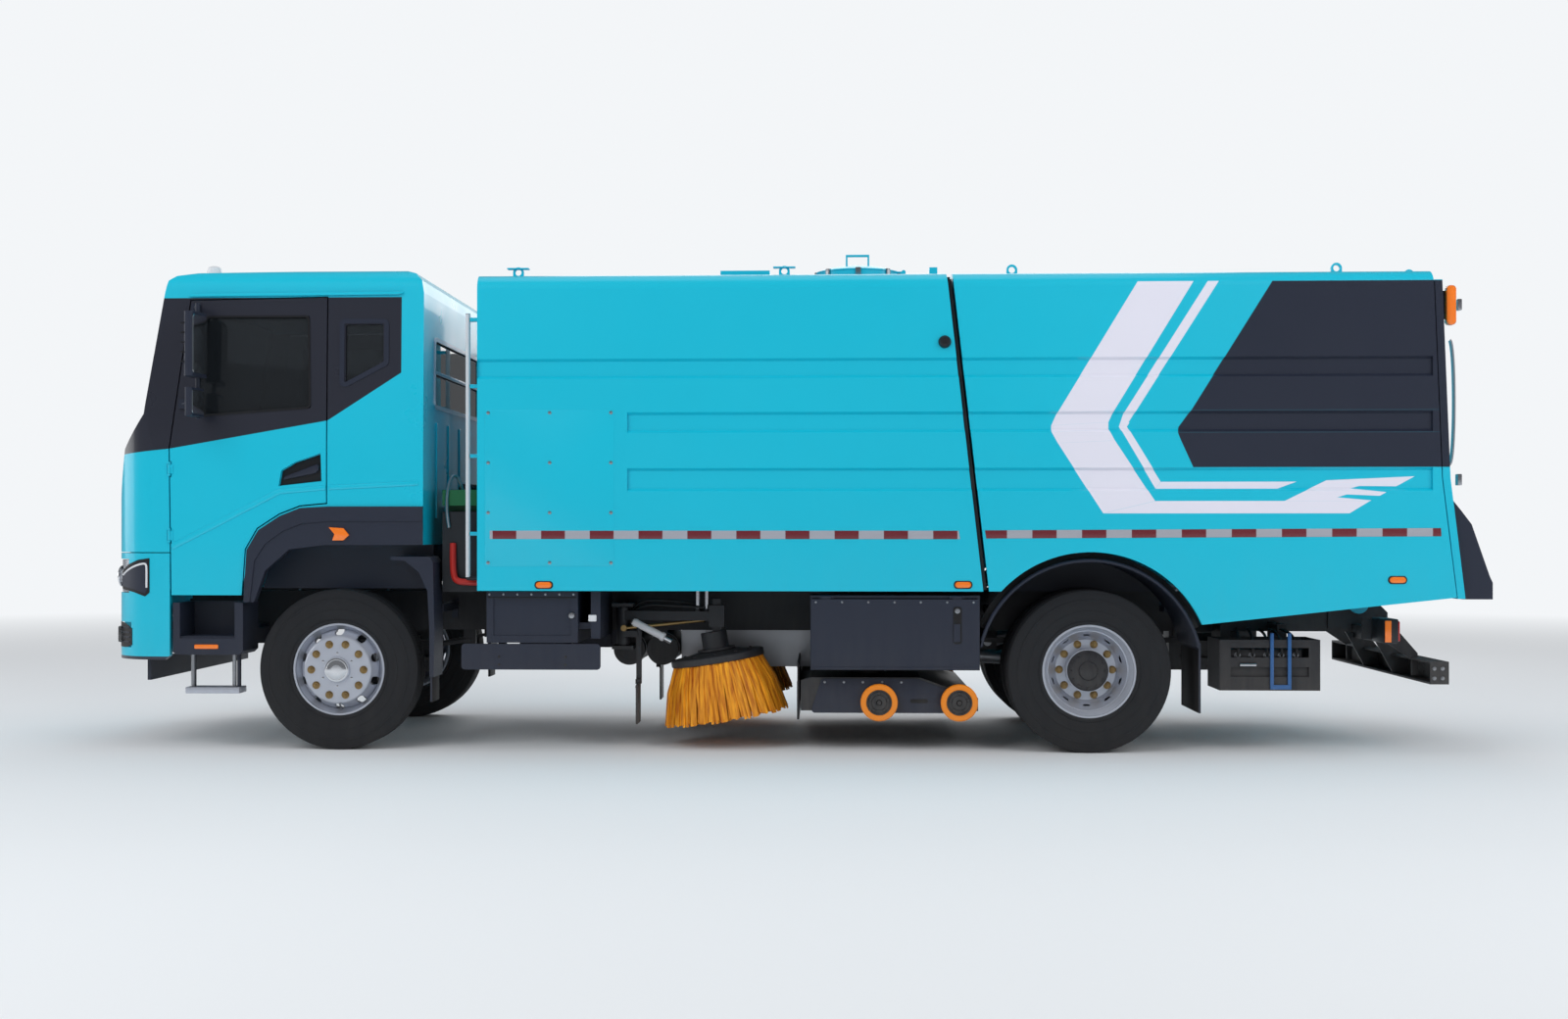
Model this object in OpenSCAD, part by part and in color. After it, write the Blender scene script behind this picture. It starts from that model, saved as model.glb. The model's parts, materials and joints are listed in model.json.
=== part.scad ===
// Street sweeper truck: cab-over chassis, suction sweeper body and tipping hopper.
// Front is -Y, the left side is +X, +Z is up. The origin is on the ground at the middle.

/* [Chassis] */
// Distance between the axles
wheelbase = 4700; // [4660:5:4740]
// Rear axle, behind the middle of the truck
rear_y = 1860; // [1850:1:1870]
// Tyre outer radius
tyre_r = 506; // [496:1:512]
// Tyre width
tyre_w = 275; // [260:1:280]
// Outer face of the outermost tyres, from the middle
track_x = 1200; // [1190:1:1205]
// Outer face of the frame rails, from the middle
rail_x = 430; // [425:1:435]
// Top of the frame rails
rail_top = 980; // [975:1:985]
// Height of the frame rails
rail_h = 260; // [240:5:270]

/* [Cab] */
// Width of the cab
cab_w = 2400; // [2380:2:2420]
// Top of the cab roof
cab_top = 3030; // [3000:5:3050]
// Thickness of cab walls and doors
cab_wall = 46; // [40:1:50]
// Gap around the doors
door_gap = 8; // [6:1:10]
// Height of the lowest edge of the doors
door_bottom = 965; // [955:1:975]

/* [Body] */
// Width of the sweeper body and hopper
body_w = 2490; // [2480:2:2500]
// Top of the body roof
body_top = 2980; // [2960:5:3000]
// Bottom of the body sides
body_bottom = 1004; // [1000:1:1010]
// Thickness of body walls
body_wall = 42; // [36:1:46]
// Depth of the pressed recesses in the body sides
recess_d = 20; // [12:1:24]
// Slot between the fixed body and the tipping hopper
seam_gap = 36; // [30:1:40]

/* [Sweeping gear] */
// Outer radius of the side brush at its bristle tips
brush_r = 405; // [380:5:410]
// Lean of the side brush axis towards the front, in degrees
brush_lean = 9; // [6:1:10]
// Radius of the suction pipes
pipe_r = 118; // [110:1:120]
// Radius of the nozzle's support wheels
caster_r = 116; // [110:1:118]

/* [Hidden] */
$fn = 64;

teal = [0.0, 0.72, 0.84];
dark = [0.16, 0.18, 0.24];
black = [0.07, 0.07, 0.08];
steel = [0.62, 0.64, 0.66];
frame_grey = [0.22, 0.23, 0.25];
rubber = [0.08, 0.08, 0.08];
glass_blue = [0.35, 0.45, 0.5, 0.5];
lamp_white = [0.85, 0.88, 0.9];
bristle_orange = [0.92, 0.55, 0.06];
board_green = [0.25, 0.5, 0.25];

front_y = rear_y - wheelbase;
wheel_x = track_x - tyre_w / 2;
twin_pitch = 312;
hand_hole_at = 234;
hand_hole_r = 19;
rim_r = 290;
kingpin_x = wheel_x - 84;
kingpin_r = 24;
hinge_pin_r = 18;
ram_pin_r = 26;
running_gap = 0.06;

front_end = -4318;
rail_front = -4020;
rail_mid_z = rail_top - rail_h / 2;
socket_base = 16;
socket_depth = 90;
socket_floor = 1;
socket_bore = 22;
coupling_z = 740;
pivot_pin_r = 30;
rail_rear = 3900;

cab_rear = -2300;
cab_corner_r = 320;
cab_roof_r = 120;
belt_z = 1900;
sill_z = 565;
bumper_t = 56;
fascia_top = 1238;
tumblehome = 34;
arch_z = 1291;
door_front = -3908;
door_rear = -2908;
hinge_x = cab_w / 2 + 4;
hinge_y = -3914;
hinge_zs = [1320, 1740];
hinge_h = 60;
hinge_pin = 5;
tilt_y = -3960;
tilt_z = 605;

body_front = -1950;
roof_r = 90;
seam_top_y = 974;
seam_bottom_y = 1200;
hopper_arch_r = 742;
hopper_rear_top = 3945;
hopper_rear_bottom = 4085;
hopper_floor_front = 1232;
hopper_floor_rear = 1012;
tip_y = 3700;
tip_z = 900;
gate_gap = 8;
gate_hinge_y = hopper_rear_top - 30;
gate_hinge_z = body_top + 24;
gate_t = 46;
recess_rows = [[2329, 2451], [1990, 2117], [1626, 1769]];
recess_start = [body_front + 1, -1009, -1009];

arch_wall_x = 862;
arch_wall_z = 1008;

hatch_y = 444;
hatch_r = 258;
hatch_seat_z = body_top + 150;
hatch_neck_z = body_top - 30;
hatch_axis_y = 312;
hatch_axis_z = hatch_seat_z + 9;
hatch_pin_r = 7;

ram_x = 270;
ram_base = [1300, 640];
ram_eye = [2750, 1085];
ram_run = ram_eye - ram_base;
ram_barrel = 1340;
ram_rod_r = 30;

wheel_hub = [530, -3590, 2000];
wheel_tilt = 40;

arm_x = 690;
arm_y = -1090;
brush_x = 790;
brush_y = -474;
brush_z = 588;

riser_x = 1120;
riser_y = -2030;
riser_r = 14;

nozzle_front = 70;
nozzle_rear = 1180;
nozzle_half = 1090;
nozzle_top = 478;
nozzle_flap_z = 194;
pipe_x = 620;
pipe_y = 500;
caster_z = nozzle_flap_z - 5 + caster_r;
caster_ys = [560, 1060];

tank_z = 590;
tank_r = 104;

locker_y = [131, 1183];
locker_z = [512, 976];
locker_x = [830, 1188];
lid_t = 16;
lid_axis_x = 1208;
lid_axis_z = 968;
lid_pin_r = 6;
lid_hinge_ys = [230, 1040];

eye_ys_body = [-1720, -34];
eye_ys_hopper = [1393, 3405];
eye_x = 1050;
eye_bore = 20;

// A block between two corners, given as a range on each axis.
module block(x, y, z) {
    translate([x[0], y[0], z[0]]) cube([x[1] - x[0], y[1] - y[0], z[1] - z[0]]);
}

// A side outline, drawn as Y across and Z up, made as wide as w about the middle.
module side_prism(w) {
    rotate([90, 0, 90]) linear_extrude(height = w, center = true) children();
}

// A side outline between two places on X.
module side_slab(x0, x1) {
    translate([x0, 0, 0]) rotate([90, 0, 90]) linear_extrude(height = x1 - x0) children();
}

// A front outline, drawn as X across and Z up, between two places on Y.
module front_slab(y0, y1) {
    translate([0, y1, 0]) rotate([90, 0, 0]) linear_extrude(height = y1 - y0) children();
}

// A plan outline between two heights.
module plan_slab(z0, z1) {
    translate([0, 0, z0]) linear_extrude(height = z1 - z0) children();
}

module both_sides() {
    children();
    mirror([1, 0, 0]) children();
}

// A rod between two points in one X plane, each given as [y, z].
module side_rod(x, a, b, r) {
    run = b - a;
    translate([x, a[0], a[1]])
        rotate([atan2(run[0], run[1]) * -1, 0, 0])
            cylinder(h = norm(run), r = r);
}

module cross_tube(x0, x1, y, z, r) {
    translate([x0, y, z]) rotate([0, 90, 0]) cylinder(h = x1 - x0, r = r);
}

// ---------- chassis ----------

module rail() {
    difference() {
        block([rail_x - 75, rail_x], [rail_front, rail_rear], [rail_top - rail_h, rail_top]);
        block([rail_x - 76, rail_x - 10], [rail_front - 1, rail_rear + 1],
              [rail_top - rail_h + 10, rail_top - 10]);
        cross_tube(rail_x - 12, rail_x + 1, tip_y, tip_z, pivot_pin_r + running_gap);
        // Corner that the tipping floor swings past
        side_slab(rail_x - 80, rail_x + 1)
            polygon([[3764, 982], [3764, 981], [3902, 842], [3902, 982]]);
    }
}

// Socket on the end of a rail, open to the front.
module tow_socket() {
    block([rail_x - 80, rail_x + 4], [rail_front - socket_base, rail_front],
          [rail_mid_z - 75, rail_mid_z + 75]);
    translate([rail_x - 38, rail_front - socket_base, rail_mid_z]) rotate([90, 0, 0])
        difference() {
            cylinder(h = socket_depth, r = 48);
            translate([0, 0, socket_floor]) cylinder(h = socket_depth, r = socket_bore);
        }
}

module pivot_bracket() {
    side_slab(rail_x, rail_x + 20)
        difference() {
            polygon([[tip_y - 190, 740], [tip_y - 190, 860], [tip_y - 60, 946], [tip_y + 60, 946],
                     [tip_y + 110, 880], [tip_y + 110, 740]]);
            translate([tip_y, tip_z]) circle(r = pivot_pin_r + running_gap);
        }
}

module brush_bracket() {
    for (z = [610, 886]) {
        difference() {
            block([rail_x, arm_x + 55], [arm_y - 70, arm_y + 70], [z, z + 22]);
            translate([arm_x, arm_y, z - 1]) cylinder(h = 24, r = 26 + running_gap);
        }
    }
    block([rail_x, rail_x + 24], [arm_y - 70, arm_y + 70], [610, 908]);
}

// Plate hung from the rail, with the fixed pin that the cab tilts on.
module cab_hinge_bracket() {
    side_slab(rail_x - 1, rail_x + 24) {
        translate([tilt_y - 55, tilt_z]) square([110, 260]);
        translate([tilt_y, tilt_z]) circle(r = 55);
    }
    cross_tube(rail_x, rail_x + 96, tilt_y, tilt_z, hinge_pin_r);
}

module ram_bracket() {
    side_slab(rail_x - 96, rail_x - 72)
        difference() {
            translate([ram_base[0] - 60, ram_base[1] - 50]) square([120, 190]);
            translate(ram_base) circle(r = ram_pin_r + running_gap);
        }
}

// Coupling plate between the rail ends, with four bolt holes.
module coupling_plate() {
    difference() {
        union() {
            block([-328, 328], [rail_rear - 16, rail_rear], [640, 842]);
            block([10 - rail_x, rail_x - 10], [rail_rear - 16, rail_rear], [790, 842]);
        }
        for (x = [-80, 80])
            for (z = [-50, 50])
                translate([x, rail_rear + 1, coupling_z + z]) rotate([90, 0, 0])
                    cylinder(h = 18, r = 10.5);
    }
}

module chassis_frame() {
    color(frame_grey) {
        both_sides() {
            rail();
            pivot_bracket();
            brush_bracket();
            cab_hinge_bracket();
            ram_bracket();
        }
        for (y = [-3900, -3250, -2350, -1250, -250, 650, 1250, 2450, 3250])
            cross_tube(-rail_x + 5, rail_x - 5, y, rail_mid_z - 20, 52);
    }
}

module towing_and_lifting_points() {
    color(frame_grey) {
        both_sides() {
            tow_socket();
            for (y = eye_ys_body) lifting_eye(y);
        }
        coupling_plate();
    }
}

module front_axle() {
    color(frame_grey) {
        front_slab(front_y - 50, front_y + 50)
            polygon([[-kingpin_x + 10, 455], [-720, 450], [-560, 395], [560, 395], [720, 450],
                     [kingpin_x - 10, 455], [kingpin_x - 10, 555], [700, 552], [540, 492],
                     [-540, 492], [-700, 552], [-kingpin_x + 10, 555]]);
        both_sides() {
            translate([kingpin_x, front_y, 452]) cylinder(h = 108, r = 56);
            translate([kingpin_x, front_y, 400]) cylinder(h = 212, r = kingpin_r);
        }
    }
}

module rear_axle() {
    color(frame_grey) {
        cross_tube(-885, 885, rear_y, tyre_r, 70);
        translate([0, rear_y, tyre_r]) rotate([0, 90, 0])
            rotate_extrude() polygon([[0, -175], [110, -160], [195, -70], [205, 0], [195, 70],
                                      [110, 160], [0, 175]]);
        translate([0, rear_y, tyre_r]) rotate([90, 0, 0]) cylinder(h = 300, r1 = 150, r2 = 75);
        both_sides() block([rail_x - 15, rail_x + 65], [rear_y - 70, rear_y + 70], [tyre_r + 40, 628]);
    }
}

module axles() {
    front_axle();
    rear_axle();
}

// Arched leaf pack, its ends lower than the frame rail.
module leaf_pack(y, half, z_mid, z_end, x0, x1, leaf_h) {
    side_slab(x0, x1)
        polygon([[y - half, z_end], [y - half * 0.5, (z_mid + z_end * 0.35) / 1.35],
                 [y, z_mid], [y + half * 0.5, (z_mid + z_end * 0.35) / 1.35],
                 [y + half, z_end], [y + half, z_end + leaf_h * 0.5],
                 [y + half * 0.5, z_mid + leaf_h], [y, z_mid + leaf_h * 1.2],
                 [y - half * 0.5, z_mid + leaf_h], [y - half, z_end + leaf_h * 0.5]]);
}

module leaf_springs() {
    color(black) both_sides() {
        leaf_pack(front_y, 700, 556, 640, rail_x - 70, rail_x - 5, 42);
        for (y = [front_y - 690, front_y + 690])
            block([rail_x - 60, rail_x - 15], [y - 40, y + 40], [625, rail_top - rail_h]);
        leaf_pack(rear_y, 720, 629, 655, rail_x + 2, rail_x + 72, 48);
        for (y = [rear_y - 690, rear_y + 690])
            block([rail_x + 1, rail_x + 65], [y - 45, y + 45], [650, 800]);
    }
}

module drive_motor() {
    color(steel) {
        block([-290, 290], [-740, 340], [470, 719]);
        difference() {
            side_rod(0, [320, 590], [1620, 508], 50);
            block([-100, 100], [1558, 1700], [400, 800]);
        }
    }
}

module battery_boxes() {
    color(dark) both_sides() {
        difference() {
            block([rail_x, 1168], [-1904, -1328], [676, 996]);
            block([1160, 1170], [-1860, -1372], [720, 950]);
        }
        block([rail_x, 1130], [-1250, -1190], [700, 996]);
        block([rail_x, 1100], [-1329, -1249], [760, 800]);
    }
}

module cab_steps() {
    color(dark) both_sides() {
        difference() {
            side_slab(860, 1192)
                polygon([[-3894, 612], [-3870, 597], [-3470, 597], [-3447, 620], [-3447, 925],
                         [-3894, 925]]);
            block([905, 1200], [-3850, -3500], [700, 930]);
            block([850, 1150], [-3860, -3490], [612, 660]);
        }
        block([1020, 1180], [-3850, -3500], [690, 712]);
        for (y = [-3794, -3505])
            block([1085, 1120], [y, y + 16], [368, 640]);
        difference() {
            block([1040, 1180], [-3810, -3476], [358, 380]);
            for (y = [-3780, -3710, -3640, -3570])
                block([1060, 1160], [y, y + 42], [350, 390]);
        }
        block([rail_x, 900], [-3850, -3790], [640, 740]);
        block([rail_x, 900], [-3560, -3500], [640, 740]);
        block([rail_x, rail_x + 20], [-3850, -3500], [640, 760]);
    }
}

// Chassis mudguards: the half behind each front wheel, and a full hoop over each rear pair.
module front_guard() {
    side_slab(905, 1190)
        polygon([[-2507, 1196], [-2420, 1190], [-2330, 1120], [-2275, 1000], [-2262, 760],
                 [-2262, 459], [-2236, 459], [-2230, 760], [-2236, 1010], [-2240, 1180],
                 [-2262, 1216], [-2507, 1216]]);
    block([940, 1160], [-2262, -2250], [305, 470]);
    block([rail_x, 930], [-2262, -2222], [860, 910]);
    block([rail_x, rail_x + 15], [-2262, -2222], [800, 930]);
}

module rear_guard() {
    hoop_r = 692;
    hoop_t = 14;
    side_slab(575, 1192) difference() {
        translate([rear_y, tyre_r]) circle(r = hoop_r, $fn = 96);
        translate([rear_y, tyre_r]) circle(r = hoop_r - hoop_t, $fn = 96);
        translate([rear_y - 900, tyre_r - 900]) square([1800, 1050]);
    }
    // Inner wall under the hoop, down to the frame rail
    side_slab(575, 587) difference() {
        translate([rear_y, tyre_r]) circle(r = hoop_r - hoop_t + 1, $fn = 96);
        translate([rear_y - 900, tyre_r - 900]) square([1800, rail_top + 4 - tyre_r + 900]);
    }
    block([590, 1180], [rear_y + hoop_r - 20, rear_y + hoop_r - 8], [250, tyre_r + 175]);
    block([rail_x, 600], [rear_y + 560, rear_y + 600], [850, 890]);
    block([rail_x, 600], [rear_y - 600, rear_y - 560], [850, 890]);
}

module mudguards() {
    color(dark) both_sides() {
        front_guard();
        rear_guard();
    }
}

// One deep plank under each battery box, with rounded front and rear corners.
module side_guards() {
    color(dark) both_sides() {
        side_slab(1150, 1176)
            offset(r = 22) offset(delta = -22)
                translate([-2062, 507]) square([876, 162]);
        for (y = [-1840, -1420]) {
            block([1110, 1151], [y, y + 45], [520, 660]);
            block([1040, 1111], [y, y + 45], [620, 676]);
        }
    }
}

// Two tanks across the frame, each hung from the rails by a pair of bands.
module air_tank(y, half) {
    difference() {
        cross_tube(-half, half, y, tank_z, tank_r);
        cross_tube(half - 6, half + 1, y, tank_z, tank_r - 30);
        cross_tube(-half - 1, -half + 6, y, tank_z, tank_r - 30);
    }
    both_sides() block([rail_x - 60, rail_x - 20], [y - 30, y + 30], [tank_z + 60, rail_top - rail_h]);
}

module air_tanks() {
    color(black) {
        air_tank(-1080, 415);
        air_tank(-858, 415);
    }
}

module underrun_bar() {
    color(frame_grey) {
        difference() {
            block([-1160, 1160], [3950, 4064], [432, 572]);
            block([-1154, 1154], [3940, 4052], [444, 560]);
            both_sides() for (x = [600, 690]) for (z = [480, 524])
                translate([x, 4070, z]) rotate([90, 0, 0]) cylinder(h = 40, r = 9);
        }
        both_sides() {
            side_slab(rail_x - 100, rail_x - 80)
                polygon([[3560, 735], [3560, 800], [3870, 800], [4053, 572], [4053, 440],
                         [3960, 440], [3800, 735]]);
            block([rail_x - 81, rail_x - 10], [3600, 3700], [740, 790]);
            // Lamp carriers
            side_slab(760, 775)
                polygon([[3640, 690], [3640, 820], [3800, 820], [3990, 600], [3990, 460],
                         [3952, 460], [3952, 560], [3760, 690]]);
            block([rail_x + 21, 765], [3660, 3720], [720, 770]);
        }
    }
}

// ---------- fixed sweeper body ----------

// Front view of the body: upright sides with rounded roof edges.
module body_outline(inset) {
    half = body_w / 2 - inset;
    top = body_top - inset;
    r = roof_r - min(inset, 40);
    square_top = top - r;
    translate([-half, 500]) square([2 * half, square_top - 500]);
    translate([-half + r, 500]) square([2 * (half - r), top - 500]);
    for (x = [-half + r, half - r])
        translate([x, square_top]) circle(r = r);
}

function seam_y(z) = seam_bottom_y + (seam_top_y - seam_bottom_y) * (z - body_bottom)
                     / (body_top - body_bottom);

// One pressed recess in a body side, with sloping top and bottom edges.
module recess_bar(y0, y1, z) {
    slope = 16;
    front_slab(y0, y1)
        polygon([[body_w / 2 + 1, z[0] - 1], [body_w / 2 + 1, z[1] + 1],
                 [body_w / 2 - recess_d, z[1] - slope], [body_w / 2 - recess_d, z[0] + slope]]);
}

module side_recesses(starts, stop) {
    both_sides()
        for (i = [0:2])
            recess_bar(starts[i], stop, recess_rows[i]);
}

// An eye plate that stands on the roof.
module lifting_eye(y) {
    side_slab(eye_x - 10, eye_x + 10)
        difference() {
            union() {
                translate([y - 34, body_top]) square([68, 36]);
                translate([y, body_top + 36]) circle(r = 34);
            }
            translate([y, body_top + 36]) circle(r = eye_bore);
        }
}

module sweeper_body() {
    color(teal) difference() {
        union() {
            difference() {
                front_slab(body_front, 1400) body_outline(0);
                side_prism(body_w + 20)
                    polygon([[seam_y(500) - 0, 500], [seam_y(3100), 3100], [1500, 3100], [1500, 500]]);
                block([-1400, 1400], [body_front - 1, 1500], [400, body_bottom]);
                side_recesses(recess_start, 1300);
            }
            translate([0, hatch_y, hatch_neck_z]) cylinder(h = hatch_seat_z - hatch_neck_z, r = hatch_r + 22);
            // Lugs and pin of the hatch hinge
            for (x = [-60, 46])
                side_slab(x, x + 14) {
                    translate([hatch_y + hatch_r + 8, 3000]) square([60, 60]);
                    translate([hatch_y + hatch_r + 32, 3000]) square([36, hatch_axis_z - 3000]);
                    translate([hatch_y + hatch_axis_y, hatch_axis_z]) circle(r = 14);
                }
            cross_tube(-60, 60, hatch_y + hatch_axis_y, hatch_axis_z, hatch_pin_r);
            block([380, 900], [-446, -130], [body_top - 10, body_top + 62]);
            block([900, 1010], [880, 930], [body_top - 30, body_top + 62]);
        }
        // Inner space, open downwards between the cross beams
        intersection() {
            front_slab(body_front + body_wall, 1400) body_outline(body_wall);
            side_prism(body_w)
                polygon([[body_front, 900], [seam_y(900) - body_wall, 900],
                         [seam_y(3000) - body_wall, 3000], [body_front, 3000]]);
            block([-1400, 1400], [-3000, 1400], [body_bottom + body_wall, 3200]);
        }
        for (y = [[-1850, -1000], [-900, -50], [50, 800]])
            block([-1100, 1100], y, [900, body_bottom + 60]);
        translate([0, hatch_y, body_top - 100]) cylinder(h = 300, r = hatch_r - 30);
    }
}

module power_unit() {
    color(board_green) {
        block([250, 1010], [-2215, -1975], [1540, 1640]);
        block([-1010, 1010], [-2215, -1985], [990, 1500]);
        block([-900, 900], [-2200, -1990], [1499, 1541]);
    }
}

module lockers() {
    color(dark) both_sides() {
        difference() {
            block(locker_x, locker_y, locker_z);
            block([locker_x[0] + 12, locker_x[1] + 1], [locker_y[0] + 14, locker_y[1] - 14],
                  [locker_z[0] + 14, locker_z[1] - 16]);
        }
        for (y = [200, 1040])
            block([rail_x, locker_x[0] + 2], [y, y + 50], [860, 930]);
        for (y = lid_hinge_ys) {
            for (lug = [y - 46, y + 34])
                block([locker_x[1] - 2, lid_axis_x + 8], [lug, lug + 12], [lid_axis_z - 8, locker_z[1]]);
            translate([lid_axis_x, y + 46, lid_axis_z]) rotate([90, 0, 0]) cylinder(h = 92, r = lid_pin_r);
        }
    }
}

module equipment_trays() {
    color(dark) both_sides() {
        difference() {
            block([700, 1080], [2680, 3300], [384, 700]);
            block([712, 1068], [2692, 3288], [396, 701]);
            for (z = [470, 590])
                block([690, 1090], [2750, 3230], [z, z + 60]);
        }
        block([rail_x, 712], [2760, 2820], [600, 780]);
        block([rail_x, 712], [3120, 3180], [600, 780]);
        block([760, 1060], [2720, 3260], [397, 560]);
    }
}

// Suction pipes from the nozzle to the body, and thin pipes clipped to the body front.
module pipework() {
    color(black) both_sides() {
        translate([pipe_x, pipe_y, 622]) difference() {
            cylinder(h = body_bottom - 622, r = pipe_r + 10);
            translate([0, 0, -1]) cylinder(h = 320, r = pipe_r);
        }
        block([rail_x, pipe_x - pipe_r + 2], [pipe_y - 40, pipe_y + 40], [840, 900]);
    }
    color(steel) both_sides() {
        translate([riser_x, riser_y, 1080]) cylinder(h = 1670, r = riser_r);
        for (z = [1350, 1840, 2280, 2700])
            block([riser_x - 18, riser_x + 18], [riser_y + riser_r - 2, body_front], [z, z + 22]);
        translate([riser_x, riser_y, 1080]) sphere(r = riser_r);
        translate([riser_x, riser_y, 1080]) rotate([-90, 0, 0])
            cylinder(h = body_front - riser_y, r = riser_r);
    }
}

// ---------- cab ----------

// Side outline of the cab front, roof and rear, as [y, z], drawn in by the inset.
module cab_side_outline(inset) {
    front = front_end + inset;
    rear = cab_rear - inset;
    top = cab_top - inset;
    polygon([[front + 24, sill_z], [front, 900], [front + 6, 1500], [front + 80, 1900],
             [front + 235, 2120], [front + 364, 2880], [front + 384, top - 64],
             [front + 430, top - 32], [front + 560, top - 12], [front + 1300, top],
             [rear - 130, top], [rear - 60, top - 22], [rear - 14, top - 72], [rear, top - 150],
             [rear, sill_z]]);
}

module cab_plan_outline(inset) {
    half = cab_w / 2 - inset;
    r = cab_corner_r - inset;
    front = front_end + inset;
    translate([-half, front + r]) square([2 * half, cab_rear - inset - front - r]);
    translate([-half + r, front]) square([2 * (half - r), 800]);
    for (x = [-half + r, half - r])
        translate([x, front + r]) circle(r = r, $fn = 96);
}

module cab_front_outline(inset) {
    half = cab_w / 2 - inset;
    top = cab_top - inset;
    r = cab_roof_r - inset * 0.8;
    up = half - tumblehome;
    polygon([[-half, sill_z - 10], [-half, belt_z], [-up, top - r], [-up + r, top - r * 0.2],
             [up - r, top - r * 0.2], [up, top - r], [half, belt_z], [half, sill_z - 10]]);
    for (x = [-up + r, up - r])
        translate([x, top - r]) circle(r = r);
    translate([-up + r, top - r]) square([2 * (up - r), r]);
}

module cab_envelope(inset) {
    intersection() {
        side_prism(cab_w + 100) cab_side_outline(inset);
        plan_slab(sill_z - 5, cab_top + 50) cab_plan_outline(inset);
        front_slab(front_end - 50, cab_rear + 50) cab_front_outline(inset);
    }
}

// Door outline as [y, z]; grow moves its edges outwards.
module door_outline(grow) {
    offset(delta = grow)
        polygon([[door_front, door_bottom], [door_front - 12, belt_z], [door_front + 118, 2842],
                 [door_rear, 2858], [door_rear, 1548], [-3080, 1532], [-3210, 1482],
                 [-3350, 1392], [-3425, 1262], [-3446, door_bottom]]);
}

module door_window_outline(grow) {
    offset(r = 18 + grow) offset(delta = -18)
        polygon([[-3772, 2096], [-3690, 2738], [-3025, 2738], [-3013, 2150]]);
}

module quarter_window_outline(grow) {
    offset(r = 14 + grow) offset(delta = -14)
        polygon([[-2795, 2290], [-2795, 2680], [-2556, 2680], [-2556, 2449]]);
}

module windscreen_outline(grow) {
    offset(r = 60 + grow) offset(delta = -60)
        polygon([[-1085, 2070], [-1060, 2870], [1060, 2870], [1085, 2070]]);
}

// Underside of the cab as [y, z]: low over the footwell, raised over the wheels.
module cab_underside(drop) {
    polygon([[front_end - 10, fascia_top + 6], [front_end + 76, fascia_top + 6],
             [front_end + 76, 1012 - drop], [-3447, 1012 - drop], [-3427, 1130 - drop],
             [-3330, arch_z - drop], [cab_rear + 10, arch_z - drop], [cab_rear + 10, 500],
             [front_end - 10, 500]]);
}

module cab_shell() {
    color(teal) difference() {
        cab_envelope(0);
        side_prism(cab_w + 200) cab_underside(0);
        // Room for the bumper's sides
        block([-1400, 1400], [front_end - 10, door_front - 2], [500, fascia_top + 6]);
        // Room for the hinge barrels of the doors
        both_sides() for (z = hinge_zs) {
            translate([hinge_x, hinge_y, z - 3]) cylinder(h = hinge_h + 6, r = 15);
            block([hinge_x - 26, hinge_x], [hinge_y - 6, hinge_y + 12], [z - 3, z + hinge_h + 3]);
        }
        // Inner space over the stepped floor
        intersection() {
            cab_envelope(cab_wall);
            side_prism(cab_w)
                polygon([[front_end, 1062], [-3480, 1062], [-3380, arch_z + 52], [cab_rear, arch_z + 52],
                         [cab_rear, cab_top], [front_end, cab_top]]);
        }
        both_sides() {
            side_slab(cab_w / 2 - 130, cab_w / 2 + 30) door_outline(0);
            side_slab(cab_w / 2 - 130, cab_w / 2 + 30) quarter_window_outline(0);
        }
        front_slab(front_end - 20, -3880) windscreen_outline(0);
        front_slab(cab_rear - 100, cab_rear + 20)
            offset(r = 50) offset(delta = -50) translate([-850, 2180]) square([1700, 440]);
    }
    // Footwell floor and firewall inside the bumper ring
    color(teal) intersection() {
        cab_envelope(bumper_t);
        union() {
            block([-1200, 1200], [front_end, door_front + 2], [1012, 1062]);
            block([-1200, 1200], [front_end, front_end + 82], [1012, fascia_top + 6]);
        }
    }
    color(teal) intersection() {
        cab_envelope(cab_wall - 6);
        block([-1200, 1200], [front_end, front_end + 82], [fascia_top + 6, 1290]);
    }
    // Hinge pins of the doors, each held by a lug above and below its barrel
    color(teal) both_sides() for (z = hinge_zs) {
        translate([hinge_x, hinge_y, z - 14]) cylinder(h = hinge_h + 28, r = hinge_pin);
        for (lug_z = [z - 14, z + hinge_h + 2]) {
            translate([hinge_x, hinge_y, lug_z]) cylinder(h = 12, r = 9);
            block([hinge_x - 20, hinge_x], [hinge_y - 16, hinge_y], [lug_z, lug_z + 12]);
        }
    }
}

module bumper_ring() {
    intersection() {
        difference() {
            cab_envelope(0);
            cab_envelope(bumper_t);
        }
        block([-1300, 1300], [front_end - 10, door_front - 4], [sill_z, fascia_top]);
    }
}

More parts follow.
